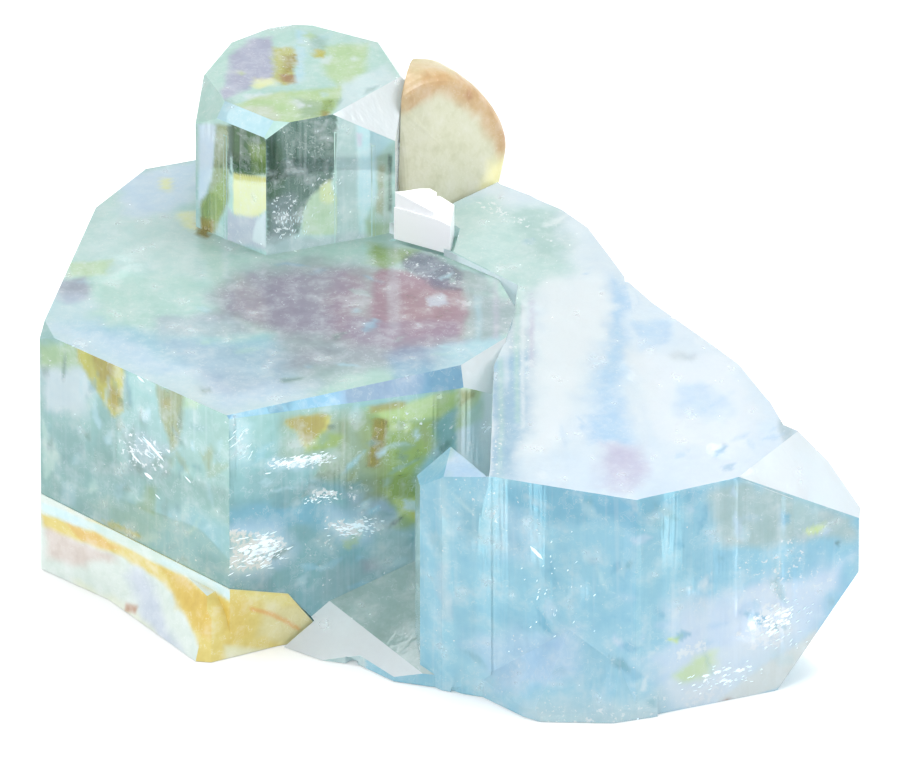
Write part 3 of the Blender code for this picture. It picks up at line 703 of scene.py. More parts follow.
# On the stub's right face
STUB_RIGHT_MARKS = [
    (SHADE_GREEN, 1.0, 0.2, 0.05, [(505, 780), (540, 600), (975, 560), (968, 900), (945, 1050),
        (880, 1110), (800, 1160), (755, 1240), (720, 1400), (560, 1470), (505, 1470)]),
    (MOSS, 0.7, 0.8, 0.3, [(505, 800), (600, 800), (640, 1000), (600, 1180), (505, 1150)]),
    (LILAC, 0.2, 0.8, 0.4, [(520, 1180), (700, 1150), (700, 1400), (520, 1440)]),
    (SAGE, 0.7, 0.3, 0.15, [(755, 1240), (800, 1160), (920, 1060), (965, 1180), (965, 1400), (740, 1400)]),
    (STRAW, 0.6, 0.4, 0.2, [(860, 1100), (925, 1055), (960, 1180), (900, 1200), (850, 1190)]),
    (MIST, 1.0, 0.2, 0.05, [(975, 560), (1110, 600), (1110, 1490), (962, 1490)]),
    (ICE, 0.9, 0.5, 0.2, [(1110, 640), (1340, 800), (1240, 900), (1230, 1150), (1150, 1300), (1110, 1490)]),
    (ROSE, 0.8, 0.25, 0.1, [(1105, 740), (1140, 745), (1135, 830), (1108, 830)]),
    (LEAF, 0.4, 0.3, 0.15, [(755, 1240), (800, 1160), (920, 1060), (965, 1180), (965, 1400), (740, 1400)]),
    (OLIVE, 0.5, 0.8, 0.3, [(1150, 1320), (1330, 1320), (1330, 1500), (1150, 1500)]),
    (OLIVE_GREY, 0.4, 0.5, 0.2, [(1235, 900), (1340, 880), (1340, 1500), (1170, 1500), (1170, 1300),
        (1235, 1150)]),
    (AMBER, 0.45, 0.4, 0.2, [(1250, 960), (1290, 960), (1280, 1260), (1230, 1250)]),
    (DARK, 0.7, 0.2, 0.08, [(1308, 885), (1340, 885), (1332, 1260), (1310, 1250)]),
    (DOVE, 0.8, 0.8, 0.3, [(505, 1420), (965, 1400), (1300, 1440), (1300, 1560), (505, 1560)]),
]
# On the stub's top
STUB_TOP_MARKS = [
    (LILAC, 1.0, 0.5, 0.3, [(250, 230), (400, 110), (552, 95), (552, 385), (430, 385), (400, 450),
        (225, 525), (215, 470)]),
    (GOLD, 0.85, 0.4, 0.25, [(552, 170), (700, 170), (700, 400), (620, 430), (552, 385)]),
    (AMBER, 0.75, 0.4, 0.2, [(615, 220), (695, 215), (692, 335), (620, 335)]),
    (RUST, 0.9, 0.4, 0.2, [(600, 345), (700, 355), (692, 415), (615, 405)]),
    (STRAW, 0.9, 0.5, 0.25, [(420, 380), (545, 370), (565, 420), (430, 445)]),
    (ICE, 1.0, 0.2, 0.08, [(702, 55), (758, 55), (752, 400), (702, 420)]),
    (LEAF, 0.6, 0.9, 0.4, [(860, 170), (1160, 140), (1150, 330), (990, 445), (880, 330)]),
    (GREY_GREEN, 0.4, 0.6, 0.3, [(790, 90), (900, 100), (880, 180), (790, 200)]),
    (GOLD, 1.0, 0.3, 0.15, [(815, 180), (885, 200), (875, 245), (815, 235)]),
    (CLOUD, 0.6, 0.9, 0.3, [(1000, 400), (1300, 280), (1370, 390), (950, 650), (985, 440)]),
    (CLOUD, 0.9, 0.4, 0.2, [(360, 490), (640, 470), (650, 500), (560, 520), (370, 530)]),
    (LEAF, 0.65, 0.5, 0.3, [(300, 550), (560, 475), (720, 465), (1000, 430), (960, 560), (900, 650),
        (720, 700), (520, 700), (360, 640)]),
    (CREAM, 0.6, 0.6, 0.3, [(340, 570), (560, 560), (600, 680), (400, 650)]),
    (GREY_GREEN, 0.4, 0.5, 0.3, [(720, 510), (860, 520), (850, 640), (730, 640)]),
    (OLIVE, 0.7, 0.4, 0.2, [(870, 520), (965, 510), (905, 645), (835, 655)]),
    (AMBER, 0.8, 0.3, 0.15, [(865, 600), (915, 595), (900, 645), (868, 645)]),
]
# On the blue crystal's front faces
BLUE_FRONT_MARKS = [
    (SAGE, 0.9, 1.2, 0.5, [(1010, 170), (1110, 140), (1515, 250), (1495, 330), (1300, 345), (1200, 365),
        (1060, 350), (1010, 260)]),
    (GREY_TEAL, 0.25, 0.9, 0.4, [(170, 190), (300, 250), (380, 345), (330, 385), (180, 300)]),
    (DEEP_SKY, 0.8, 1.4, 0.5, [(330, 140), (600, 155), (760, 185), (1000, 180), (780, 280), (350, 270)]),
    (LILAC_BLUE, 1.0, 2.6, 0.8, [(880, 560), (1500, 400), (1400, 640), (1200, 740), (1060, 880),
        (880, 910), (800, 760), (900, 660)]),
    (ICE, 0.35, 3.0, 0.8, [(140, 600), (800, 640), (860, 930), (400, 940), (140, 800)]),
    (LIME, 0.9, 0.3, 0.2, [(1342, 300), (1402, 272), (1398, 306), (1350, 320)]),
    (LIME, 0.9, 0.25, 0.15, [(868, 660), (932, 653), (905, 678)]),
    (CLOUD, 0.8, 1.6, 0.6, [(1000, 720), (1300, 600), (1280, 800), (1050, 900), (900, 930), (860, 860)]),
    (LIME, 0.6, 0.8, 0.5, [(890, 800), (960, 748), (1062, 708), (1042, 752), (930, 822)]),
    (BABY_BLUE, 0.4, 1.6, 0.6, [(300, 230), (420, 250), (430, 420), (300, 400)]),
    (BABY_BLUE, 1.0, 2.0, 0.6, [(180, 660), (560, 640), (560, 800), (300, 800)]),
    (PALE_STONE, 0.7, 1.4, 0.6, [(380, 840), (860, 840), (860, 930), (420, 935)]),
    (LILAC, 0.5, 0.8, 0.4, [(100, 420), (130, 420), (135, 600), (105, 600)]),
    (ICE, 0.6, 0.6, 0.3, [(105, 130), (135, 130), (135, 600), (108, 600)]),
    (DEEP_SKY, 0.25, 2.0, 0.7, [(140, 560), (480, 580), (500, 740), (320, 760), (150, 700)]),
    (CREAM, 1.0, 0.4, 0.2, CREAM_CHIP),
    (WHITE, 0.5, 0.4, 0.2, CREAM_CHIP),
    (RUST, 0.7, 0.3, 0.2, [(1045, 885), (1095, 852), (1115, 872)]),
    (DARK, 0.5, 0.25, 0.1, [(1430, 345), (1455, 335), (1450, 355)]),
]
# On the blue crystal's top, whose whiteness is partly its cloudiness and partly a painted reflection
BLUE_TOP_MARKS = [
    (SEA_GREEN, 0.75, 2.4, 0.7, [(-80, 120), (400, 190), (500, 330), (440, 490), (240, 620), (-80, 560)]),
    (BABY_BLUE, 1.0, 1.6, 0.7, [(620, 480), (700, 510), (760, 600), (705, 700), (725, 760), (705, 950),
        (725, 1240), (555, 1245), (590, 900), (620, 700)]),
    (GREY_GREEN, 0.15, 2.0, 0.7, [(200, 190), (450, 200), (520, 340), (420, 430), (250, 400)]),
    (BABY_BLUE, 0.7, 0.8, 0.4, [(740, 700), (905, 690), (905, 790), (800, 825)]),
    (GREY_TEAL, 0.3, 1.0, 0.5, [(190, 720), (290, 720), (290, 860), (190, 860)]),
    (POWDER, 0.8, 1.6, 0.6, [(90, 880), (300, 830), (360, 1000), (220, 1400), (90, 1400)]),
    (WHITE, 0.8, 1.6, 0.7, [(370, 500), (620, 480), (640, 640), (500, 1000), (420, 1250), (250, 1300),
        (300, 900)]),
    (WHITE, 0.7, 1.2, 0.6, [(740, 830), (1180, 850), (1300, 1150), (1180, 1300), (860, 1230)]),
    (BABY_BLUE, 0.55, 1.4, 0.9, [(945, 950), (1120, 1000), (1185, 1100), (1120, 1145), (1000, 1080)]),
    (ROSE, 0.9, 2.0, 0.5, [(620, 1250), (750, 1250), (790, 1360), (730, 1450), (610, 1420)]),
    (GREY_GREEN, 0.25, 0.8, 0.5, [(905, 835), (1035, 840), (1010, 870), (930, 870)]),
    (GREY_GREEN, 0.4, 0.6, 0.3, [(1385, 1070), (1445, 1090), (1500, 1235), (1420, 1255)]),
    (GREY_GREEN, 0.6, 1.0, 0.4, [(-20, 640), (130, 560), (250, 640), (210, 720), (60, 760)]),
    (CLOUD, 0.5, 0.3, 0.1, [(165, 560), (205, 560), (200, 1000), (170, 1000)]),
    (SEA_GREEN, 0.7, 0.4, 0.1, [(220, 560), (245, 560), (240, 1150), (220, 1150)]),
    (WHITE, 0.6, 0.3, 0.1, [(252, 600), (270, 600), (264, 1180), (248, 1180)]),
    (ROSE, 0.6, 0.4, 0.1, [(290, 560), (310, 560), (305, 900), (288, 900)]),
    (SEA_GREEN, 0.6, 0.4, 0.1, [(150, 860), (170, 860), (165, 1400), (148, 1400)]),
    (WHITE, 0.7, 0.3, 0.1, [(108, 950), (126, 950), (120, 1400), (104, 1400)]),
]
# On the matrix's left face
MATRIX_LEFT_MARKS = [
    (MILK_BLUE, 0.8, 1.6, 0.5, [(500, 1130), (640, 1290), (780, 1460), (700, 1480), (560, 1360),
        (450, 1180)]),
    (BLUSH, 0.8, 1.0, 0.4, [(70, 930), (280, 1020), (420, 1100), (250, 1120), (70, 1080)]),
    (SHELL, 0.8, 0.8, 0.4, [(200, 1180), (460, 1280), (900, 1560), (700, 1560), (460, 1400), (230, 1260)]),
    (BUTTER, 1.0, 0.5, 0.25, [(60, 890), (160, 925), (300, 970), (430, 1035), (620, 1120), (850, 1220),
        (930, 1265), (930, 1490), (847, 1420), (779, 1337), (687, 1250), (640, 1215), (450, 1095),
        (280, 1020), (160, 980), (60, 955)]),
    (HONEY, 0.9, 0.8, 0.3, [(600, 1130), (930, 1290), (930, 1440), (800, 1340), (660, 1220)]),
    (APRICOT, 0.5, 0.5, 0.25, [(160, 925), (300, 975), (430, 1045), (360, 1050), (240, 1000)]),
    (ICE, 0.7, 0.3, 0.1, [(60, 840), (500, 990), (930, 1225), (930, 1275), (620, 1125), (300, 965),
        (60, 895)]),
    (RUST, 0.9, 0.4, 0.15, [(455, 1285), (515, 1295), (518, 1328), (460, 1320)]),
]
# On the matrix's right face
MATRIX_RIGHT_MARKS = [
    (HONEY, 0.5, 1.2, 0.3, [(-20, 1100), (100, 1110), (120, 1300), (-20, 1330)]),
    (SHELL, 0.35, 1.0, 0.4, [(180, 1120), (420, 1180), (520, 1280), (300, 1360), (170, 1300)]),
    (STRAW_STONE, 0.7, 0.6, 0.3, [(75, 1040), (245, 1040), (360, 1140), (300, 1160), (100, 1110)]),
    (APRICOT, 0.8, 0.25, 0.1, [(120, 1150), (250, 1185), (385, 1262), (370, 1275), (240, 1205),
        (118, 1165)]),
    (SHELL, 0.7, 0.6, 0.2, [(-20, 1335), (400, 1395), (400, 1430), (-20, 1430)]),
]

# Painted glints: groups of white flecks by face where the crystal sparkles, picked the same way:
# (strength, soft edge, raggedness, outline)
GLINT_FLECKS = {
    "right": [
        (0.55, 0.7, 0.4, [(40, 250), (140, 235), (170, 290), (80, 340), (40, 340)]),
        (0.95, 0.7, 0.4, [(215, 395), (545, 365), (520, 400), (360, 440), (220, 430)]),
        (0.95, 0.6, 0.4, [(420, 565), (565, 575), (560, 625), (430, 620)]),
        (1.0, 0.6, 0.4, FLASH),
        (0.5, 0.7, 0.4, [(700, 720), (800, 760), (780, 820), (700, 800)]),
        (1.0, 0.7, 0.5, [(28, 760), (200, 750), (310, 830), (200, 960), (30, 970)]),
        (0.55, 0.5, 0.3, [(490, 1010), (550, 1010), (550, 1060), (490, 1060)]),
        (0.5, 0.5, 0.3, [(495, 800), (535, 800), (535, 840), (495, 840)]),
        (0.45, 1.2, 0.5, [(600, 520), (700, 520), (700, 700), (600, 680)]),
        (0.6, 0.5, 0.3, [(1110, 220), (1180, 220), (1180, 270), (1110, 270)]),
        (0.4, 1.0, 0.5, [(830, 120), (1000, 120), (1000, 250), (830, 250)]),
    ],
    "blue_front": [
        (0.9, 0.8, 0.5, [(1120, 650), (1180, 555), (1290, 560), (1265, 690), (1160, 715)]),
        (0.8, 0.7, 0.4, [(890, 710), (1025, 655), (1005, 725), (900, 745)]),
        (0.75, 0.7, 0.4, [(900, 880), (1100, 750), (1085, 835), (950, 915)]),
        (0.35, 1.6, 0.6, [(1120, 380), (1500, 420), (1400, 560), (1120, 560)]),
        (0.5, 0.5, 0.3, [(1260, 330), (1340, 330), (1330, 430), (1270, 430)]),
        (0.35, 1.2, 0.5, [(330, 690), (420, 690), (430, 740), (340, 740)]),
        (0.4, 1.6, 0.6, [(400, 830), (900, 840), (860, 940), (420, 930)]),
        (0.3, 1.6, 0.6, [(140, 100), (320, 120), (330, 300), (160, 240)]),
    ],
    "left": [
        (0.55, 1.0, 0.5, [(380, 500), (640, 560), (640, 700), (440, 690)]),
    ],
    "stub_right": [
        (0.6, 0.8, 0.4, [(520, 1150), (700, 1150), (690, 1400), (520, 1450)]),
        (0.4, 0.8, 0.4, [(790, 1000), (960, 1010), (960, 1110), (800, 1130)]),
    ],
    "top": [
        (0.35, 2.0, 0.6, [(1150, 310), (1400, 320), (1400, 460), (1180, 430)]),
    ],
    "blue_top": [
        (0.6, 0.4, 0.2, [(30, 150), (90, 140), (305, 255), (290, 275), (60, 190)]),
        (0.5, 0.4, 0.2, [(345, 290), (430, 315), (430, 340), (355, 315)]),
        (0.4, 1.2, 0.5, [(60, 1060), (180, 1060), (200, 1500), (60, 1500)]),
        (0.35, 1.6, 0.6, [(200, 700), (420, 720), (400, 1000), (220, 1000)]),
        (0.4, 1.2, 0.5, [(600, 1380), (800, 1380), (760, 1520), (560, 1540)]),
    ],
    "stem": [
        (0.6, 0.8, 0.3, [(1190, 250), (1300, 300), (1300, 520), (1190, 450)]),
    ],
}

# Marks with their face and an outline in millimetres. Without an outline a mark covers its face.
BEVEL_LEFT = [(-13.0, -2.0), (-5.5, -2.0), (-6.0, 2.0), (-13.0, 2.0)]
BASE_PATCHES = [
    ("left", SEA, 1.0, 0.1, 0.0, None),
    ("right", TEAL, 1.0, 0.1, 0.0, None),
    ("right", SEA, 0.8, 4.0, 0.8, [(-1.0, 14.0), (18.0, 14.0), (18.0, 22.0), (-1.0, 22.0)]),
    ("top", SEA_GREEN, 1.0, 0.1, 0.0, None),
    ("stub_top", SEA_GREEN, 1.0, 0.1, 0.0, None),
    # Blue top: cloudy white, partly the stone and partly a painted reflection of the light
    ("blue_top", CLOUD, 1.0, 0.1, 0.0, None),
    ("blue_front", SKY, 1.0, 0.1, 0.0, None),
    ("bevel", POWDER, 1.0, 2.0, 0.3, BEVEL_LEFT),
    ("bevel", DEEP_SKY, 0.4, 2.0, 0.3, BEVEL_LEFT),
    ("bevel", LILAC, 0.4, 1.5, 0.4, [(-2.0, -2.0), (4.0, -2.0), (4.0, 2.0), (-2.0, 2.0)]),
]
MATRIX_BASE = [("matrix_right", BUTTER, 1.0, 0.3, 0.1, None)]
PANEL_PATCHES = [
    ("panel", PANEL, 1.0, 1.2, 0.3, [(-4.5, 19.5), (5.6, 19.5), (6.4, 22.5), (6.0, 25.2), (3.9, 28.1),
        (1.6, 29.2), (-4.5, 29.0)]),
    ("panel", TAN, 0.85, 1.2, 0.4, [(6.4, 23.0), (9.0, 23.0), (7.5, 27.5), (4.0, 30.0), (2.4, 29.0),
        (5.2, 26.5)]),
    ("panel", STRAW, 0.8, 1.4, 0.5, [(2.4, 19.5), (7.4, 20.0), (7.6, 22.8), (5.4, 22.6)]),
    ("panel", RUST, 0.7, 0.5, 0.15, [(4.1, 28.4), (4.8, 28.9), (5.0, 28.0), (4.4, 27.8)]),
    ("panel", RUST, 0.6, 0.5, 0.15, [(7.1, 24.6), (7.9, 24.6), (7.9, 23.8), (7.1, 23.8)]),
    ("panel", TAN, 0.6, 0.2, 0.05, [(-1.4, 29.0), (2.0, 29.9), (2.0, 30.1), (-1.4, 29.2)]),
    ("panel", TAN, 0.6, 0.2, 0.05, [(-0.8, 30.1), (1.6, 30.7), (1.6, 30.9), (-0.8, 30.3)]),
]


def shown_points(face, pixels):
    """Points of a face that pixels of the photograph show.

    A point is the face's corner plus a length along each of the face's two ways. Its column and its
    row in the photograph give two equations for the two lengths.
    """
    corner = FACES[face][0]
    ways = np.stack(FACES[face][1:3])
    shown = np.stack([PIXELS_ACROSS, PIXELS_DOWN])
    lengths = np.linalg.solve(shown @ ways.T, (pixels - CORNER_PIXEL - shown @ corner).T)
    return corner + lengths.T @ ways


def on_face(face, outline):
    """An outline picked in a face's view, in millimetres along and up the face, to a tenth.

    The blue crystal's front bends, so each of its points is taken from the side that shows it.
    """
    column, row, enlargement = VIEWS[face]
    pixels = np.array(outline) / enlargement + (column, row)
    if face == "blue_front":
        points = shown_points("blue_left", pixels)
        points = np.where(points[:, :1] < FRONT_BEND, points, shown_points("blue_right", pixels))
    else:
        points = shown_points(face, pixels)
    corner, way, up = FACES[face][:3]
    return np.stack([(points - corner) @ way, (points - corner) @ up], axis=1).round(1)


def marks_on(face, marks):
    """Marks with the name of their face, and their outlines in millimetres."""
    return [(face, *values, on_face(face, outline)) for *values, outline in marks]


PATCHES = [
    *BASE_PATCHES,
    *marks_on("left", LEFT_MARKS),
    *marks_on("right", RIGHT_MARKS),
    *marks_on("stem", STEM_MARKS),
    *marks_on("top", TOP_MARKS),
    *marks_on("stub_left", STUB_LEFT_MARKS),
    *marks_on("stub_right", STUB_RIGHT_MARKS),
    *marks_on("stub_top", STUB_TOP_MARKS),
    *marks_on("blue_front", BLUE_FRONT_MARKS),
    *marks_on("blue_top", BLUE_TOP_MARKS),
]
MATRIX_PATCHES = [
    *MATRIX_BASE,
    *marks_on("matrix_left", MATRIX_LEFT_MARKS),
    *marks_on("matrix_right", MATRIX_RIGHT_MARKS),
]
SPARKLES = [fleck for face, glint_flecks in GLINT_FLECKS.items() for fleck in marks_on(face, glint_flecks)]


def lattice_noise(points, size, seed):
    """Smooth random vectors from -1 to 1.

    A lattice of random vectors of the given cell size, blended between its eight nearest ones by
    the weight 3t^2 - 2t^3 in each direction.
    """
    lattice = np.random.default_rng(seed).uniform(-1.0, 1.0, (LATTICE, LATTICE, LATTICE, 3))
    cell = points / size
    low = np.floor(cell).astype(int)
    share = cell - low
    share = share * share * (3.0 - 2.0 * share)
    total = np.zeros_like(points)
    for corner in np.ndindex(2, 2, 2):
        weight = np.prod(np.where(np.array(corner) == 1, share, 1.0 - share), axis=1)
        i, j, k = ((low + corner) % LATTICE).T
        total += weight[:, None] * lattice[i, j, k]
    return total


def shards(face, area, count, shades, turn, longest, seed):
    """Marks for angular cracks on a face: kites at random places, round one way of lying."""
    random = np.random.default_rng(seed)
    left, right, low, high = area
    marks = []
    for _ in range(count):
        middle = random.uniform((left, low), (right, high))
        length, width = random.uniform(SHARD_SHORTEST, longest), random.uniform(*SHARD_WIDTHS)
        angle = math.radians(turn + random.normal(0.0, SHARD_TURN))
        ahead = np.array([math.cos(angle), math.sin(angle)])
        aside = np.array([-ahead[1], ahead[0]])
        tip, tail, side = length * ahead, SHARD_TAIL * length * ahead, width * aside
        kite = [middle + tip, middle + side, middle - tail, middle - side]
        shade = shades[random.integers(len(shades))]
        strength = random.uniform(*SHARD_STRENGTHS)
        marks.append((face, shade, strength, SHARD_SOFT, SHARD_RAGGED, kite))
    return marks


# Cracks by face: (left, right, low, high) of their area, how many, colours, way of lying, the
# longest, and the seed
CRACKS = [
    *shards("left", (0.5, 18.0, 6.0, 18.5), 44, (GREY_TEAL, ICE, SEA_GREEN, GREY_GREEN), 60.0, 1.7, 21),
    *shards("left", (5.0, 18.0, 12.5, 18.3), 22, (OLIVE_GREY, GREY_GREEN, ICE), 85.0, 2.2, 31),
    *shards("right", (0.5, 17.5, 3.0, 17.0), 50, (GREY_TEAL, ICE, SKY, GREY_GREEN), 25.0, 1.7, 22),
    *shards("right", (8.0, 17.5, 7.0, 17.5), 24, (LEAF, OLIVE_GREY, MOSS, ICE), 75.0, 1.6, 32),
    *shards("blue_front", (14.5, 45.0, 1.0, 18.0), 56, (BABY_BLUE, ICE, TEAL, DEEP_SKY), 120.0, 1.8, 23),
    *shards("blue_front", (28.0, 45.0, 1.0, 11.0), 26, (WHITE, BABY_BLUE, CLOUD, DEEP_SKY), 30.0, 1.3, 33),
    *shards("top", (-12.0, 19.0, 2.0, 24.0), 26, (ICE, GREY_GREEN, SEA_GREEN, POWDER), 20.0, 1.5, 24),
    *shards("blue_top", (19.0, 42.0, -6.0, 28.0), 44, (WHITE, BABY_BLUE, WHITE, POWDER), 60.0, 2.0, 25),
    *shards("stub_top", (-2.0, 12.0, 24.0, 38.0), 16, (ICE, CLOUD, LEAF, GREY_GREEN), 30.0, 1.3, 26),
]


def inside_outline(flat, outline, soft):
    """1 inside a closed outline, 0 outside, and a smooth step of the distance across its edge."""
    loop = np.array(outline)
    after = np.roll(loop, -1, axis=0)
    near = np.full(len(flat), np.inf)
    within = np.zeros(len(flat), bool)
    for start, end in zip(loop, after):
        side = end - start
        part = np.clip((flat - start) @ side / (side @ side), 0.0, 1.0)
        near = np.minimum(near, np.linalg.norm(flat - start - part[:, None] * side, axis=1))
        if start[1] != end[1]:
            spans = (start[1] > flat[:, 1]) != (end[1] > flat[:, 1])
            crossing = start[0] + (flat[:, 1] - start[1]) / side[1] * side[0]
            within ^= spans & (flat[:, 0] < crossing)
    signed = np.where(within, near, -near)
    share = np.clip(0.5 + signed / soft, 0.0, 1.0)
    return share * share * (3.0 - 2.0 * share)


def paint(piece, ground, bodies, facets, patches, sparkles=()):
    """Paint a piece's zones into the attributes its material reads, one value a corner.

    The ground colour comes first, then soft egg shapes through the body, then whole facets, and
    then outlines on faces. Smooth noise moves the places first, so edges wander. Groups of white
    flecks, painted glints, go into a second attribute.
    """
    mesh = piece.data
    points = np.empty(len(mesh.vertices) * 3)
    mesh.vertices.foreach_get("co", points)
    points = points.reshape(-1, 3) / MM - CORNER
    corner_point = np.empty(len(mesh.loops), int)
    mesh.loops.foreach_get("vertex_index", corner_point)
    normals = np.empty(len(mesh.polygons) * 3)
    mesh.polygons.foreach_get("normal", normals)
    sides = np.empty(len(mesh.polygons), int)
    mesh.polygons.foreach_get("loop_total", sides)
    normals = np.repeat(normals.reshape(-1, 3), sides, axis=0)
    drift = sum(share * lattice_noise(points, cell, seed) for share, cell, seed in DRIFT)
    places, drift = points[corner_point], drift[corner_point]

    colour = np.tile(np.array(ground[:3]), (len(places), 1))
    for centre, reach, soft, shade in bodies:
        far = np.linalg.norm((places + ZONE_DRIFT * drift - centre) / reach, axis=1)
        share = np.clip((1.0 - far) / soft + 0.5, 0.0, 1.0)[:, None]
        colour += share * (np.array(shade[:3]) - colour)
    for normal, point, shade in facets:
        normal = np.array(normal) / np.linalg.norm(normal)
        offset = places - point
        facing = (normals @ normal > FACET_FACING) & (abs(offset @ normal) < FACET_OFF_PLANE)
        colour[facing & (np.linalg.norm(offset, axis=1) < FACET_REACH)] = shade[:3]

    lying = {}

    def covered(face, soft, ragged, outline):
        """Which corners lie on a face, and the share of an outline on each."""
        corner, way, up, off_plane, least = FACES[face]
        if face not in lying:
            outward = np.cross(way, up)
            facing = (normals @ outward > least) & (abs((places - corner) @ outward) < off_plane)
            lying[face] = np.flatnonzero(facing)
        on = lying[face]
        if outline is None:
            return on, np.ones((len(on), 1))
        moved = places[on] + ragged * drift[on] - corner
        flat = np.stack([moved @ way, moved @ up], axis=1)
        return on, inside_outline(flat, outline, soft)[:, None]

    for face, shade, strength, soft, ragged, outline in patches:
        on, share = covered(face, soft, ragged, outline)
        colour[on] += strength * share * (np.array(shade[:3]) - colour[on])
    glint_flecks = np.zeros((len(places), 1))
    for face, strength, soft, ragged, outline in sparkles:
        on, share = covered(face, soft, ragged, outline)
        glint_flecks[on] = np.maximum(glint_flecks[on], strength * share)
    zone = mesh.color_attributes.new(name="zone", type="FLOAT_COLOR", domain="CORNER")
    zone.data.foreach_set("color", np.concatenate([colour, np.ones_like(glint_flecks)], axis=1).ravel())
    if len(sparkles):
        mesh.attributes.new("glint_flecks", "FLOAT", "CORNER").data.foreach_set("value", glint_flecks.ravel())


# Pieces


def piece_of(name, points, faces):
    """Object from points in millimetres from the front corner."""
    data = bpy.data.meshes.new(name)
    data.from_pydata(((points + CORNER) * MM).tolist(), [], faces)
    data.update()
    piece = bpy.data.objects.new(name, data)
    bpy.context.collection.objects.link(piece)
    return piece


def triangles_of(data):
    """Points in millimetres and triangles of a mesh, with its doubles merged and flat faces whole."""
    mesh = bmesh.new()
    mesh.from_mesh(data)
    bmesh.ops.remove_doubles(mesh, verts=mesh.verts, dist=SAME_PLACE)
    angle = math.radians(SAME_PLANE)
    bmesh.ops.dissolve_limit(
        mesh, angle_limit=angle, verts=mesh.verts, edges=mesh.edges, delimit={"NORMAL"}
    )
    bmesh.ops.recalc_face_normals(mesh, faces=mesh.faces)
    bmesh.ops.triangulate(mesh, faces=mesh.faces)
    scratch = bpy.data.meshes.new("triangles")
    mesh.to_mesh(scratch)
    mesh.free()
    points = np.empty(len(scratch.vertices) * 3)
    scratch.vertices.foreach_get("co", points)
    corners = np.empty(len(scratch.loops), int)
    scratch.loops.foreach_get("vertex_index", corners)
    bpy.data.meshes.remove(scratch)
    return points.reshape(-1, 3) / MM - CORNER, corners.reshape(-1, 3)


def press_flat(points, triangles, face, direction, near, among):
    """Points close to a face's plane pressed onto it, so that faint steps and ribs disappear."""
    corner, way, up = FACES[face][:3]
    outward = np.cross(way, up)
    off = (points - corner) @ outward
    close = (abs(off) < near) & among
    points = points - np.where(close, off / (direction @ outward), 0.0)[:, None] * direction
    points, place = np.unique(points.round(4), axis=0, return_inverse=True)
    triangles = place.reshape(-1)[triangles]
    return points, triangles[(triangles != np.roll(triangles, 1, axis=1)).all(axis=1)]


def refine(points, triangles, fine, coarse):
    """Halve long edges, over and over, until none is longer than its limit.

    The limit is fine on facets that face the front, where most marks are, finer on the stub's, a
    quarter more on those that face up, and coarse elsewhere. A triangle with one, two or three
    long edges becomes two, three or four.
    """
    ends = points[triangles]
    normal = np.cross(ends[:, 1] - ends[:, 0], ends[:, 2] - ends[:, 0])
    flat = normal @ UP > FACING_UP * np.linalg.norm(normal, axis=1)
    stub = ends[:, :, 2].mean(axis=1) > ABOVE_MAIN
    near = np.where(flat, TOP_LONGER * fine, np.where(stub, STUB_SHORTER * fine, fine))
    limit = np.where(normal @ TO_CAMERA > 0.0, near, coarse)
    while True:
        pairs = np.sort(np.stack([triangles, np.roll(triangles, -1, axis=1)], axis=-1), axis=-1)
        key, which = np.unique(pairs[..., 0] * len(points) + pairs[..., 1], return_inverse=True)
        which = which.reshape(-1, 3)
        first, second = key // len(points), key % len(points)
        allowed = np.full(len(key), np.inf)
        np.minimum.at(allowed, which.ravel(), np.repeat(limit, 3))
        long = np.linalg.norm(points[first] - points[second], axis=1) > allowed
        if not long.any():
            return points, triangles
        middle = np.full(len(key), -1)
        middle[long] = len(points) + np.arange(long.sum())
        points = np.concatenate([points, (points[first[long]] + points[second[long]]) / 2.0])
        cut = middle[which]
        count = (cut >= 0).sum(axis=1)
        # Turn each triangle until its one long edge comes first, or its one short edge last.
        after_short = np.where(count == 2, np.argmin(cut >= 0, axis=1) + 1, 0)
        turn = np.where(count == 1, np.argmax(cut >= 0, axis=1), after_short)
        order = (np.arange(3) + turn[:, None]) % 3
        a, b, c = np.take_along_axis(triangles, order, axis=1).T
        ab, bc, ca = np.take_along_axis(cut, order, axis=1).T
        none, one, two, three = (count == i for i in range(4))
        parts = [
            (none, (a, b, c)), (one, (a, ab, c)), (one, (ab, b, c)),
            (two, (ab, b, bc)), (two, (a, ab, bc)), (two, (a, bc, c)),
            (three, (a, ab, ca)), (three, (ab, b, bc)), (three, (ca, bc, c)), (three, (ab, bc, ca)),
        ]
        triangles = np.concatenate([np.stack(part, axis=1)[pick] for pick, part in parts])
        limit = np.concatenate([limit[pick] for pick, _ in parts])


def settle(piece, look, slot, *nodes):
    """Give a piece its look and let it stand for its CAD nodes."""
    piece.data.materials.clear()
    piece.data.materials.append(look)
    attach(piece, "root")
    if nodes:
        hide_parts(*nodes)


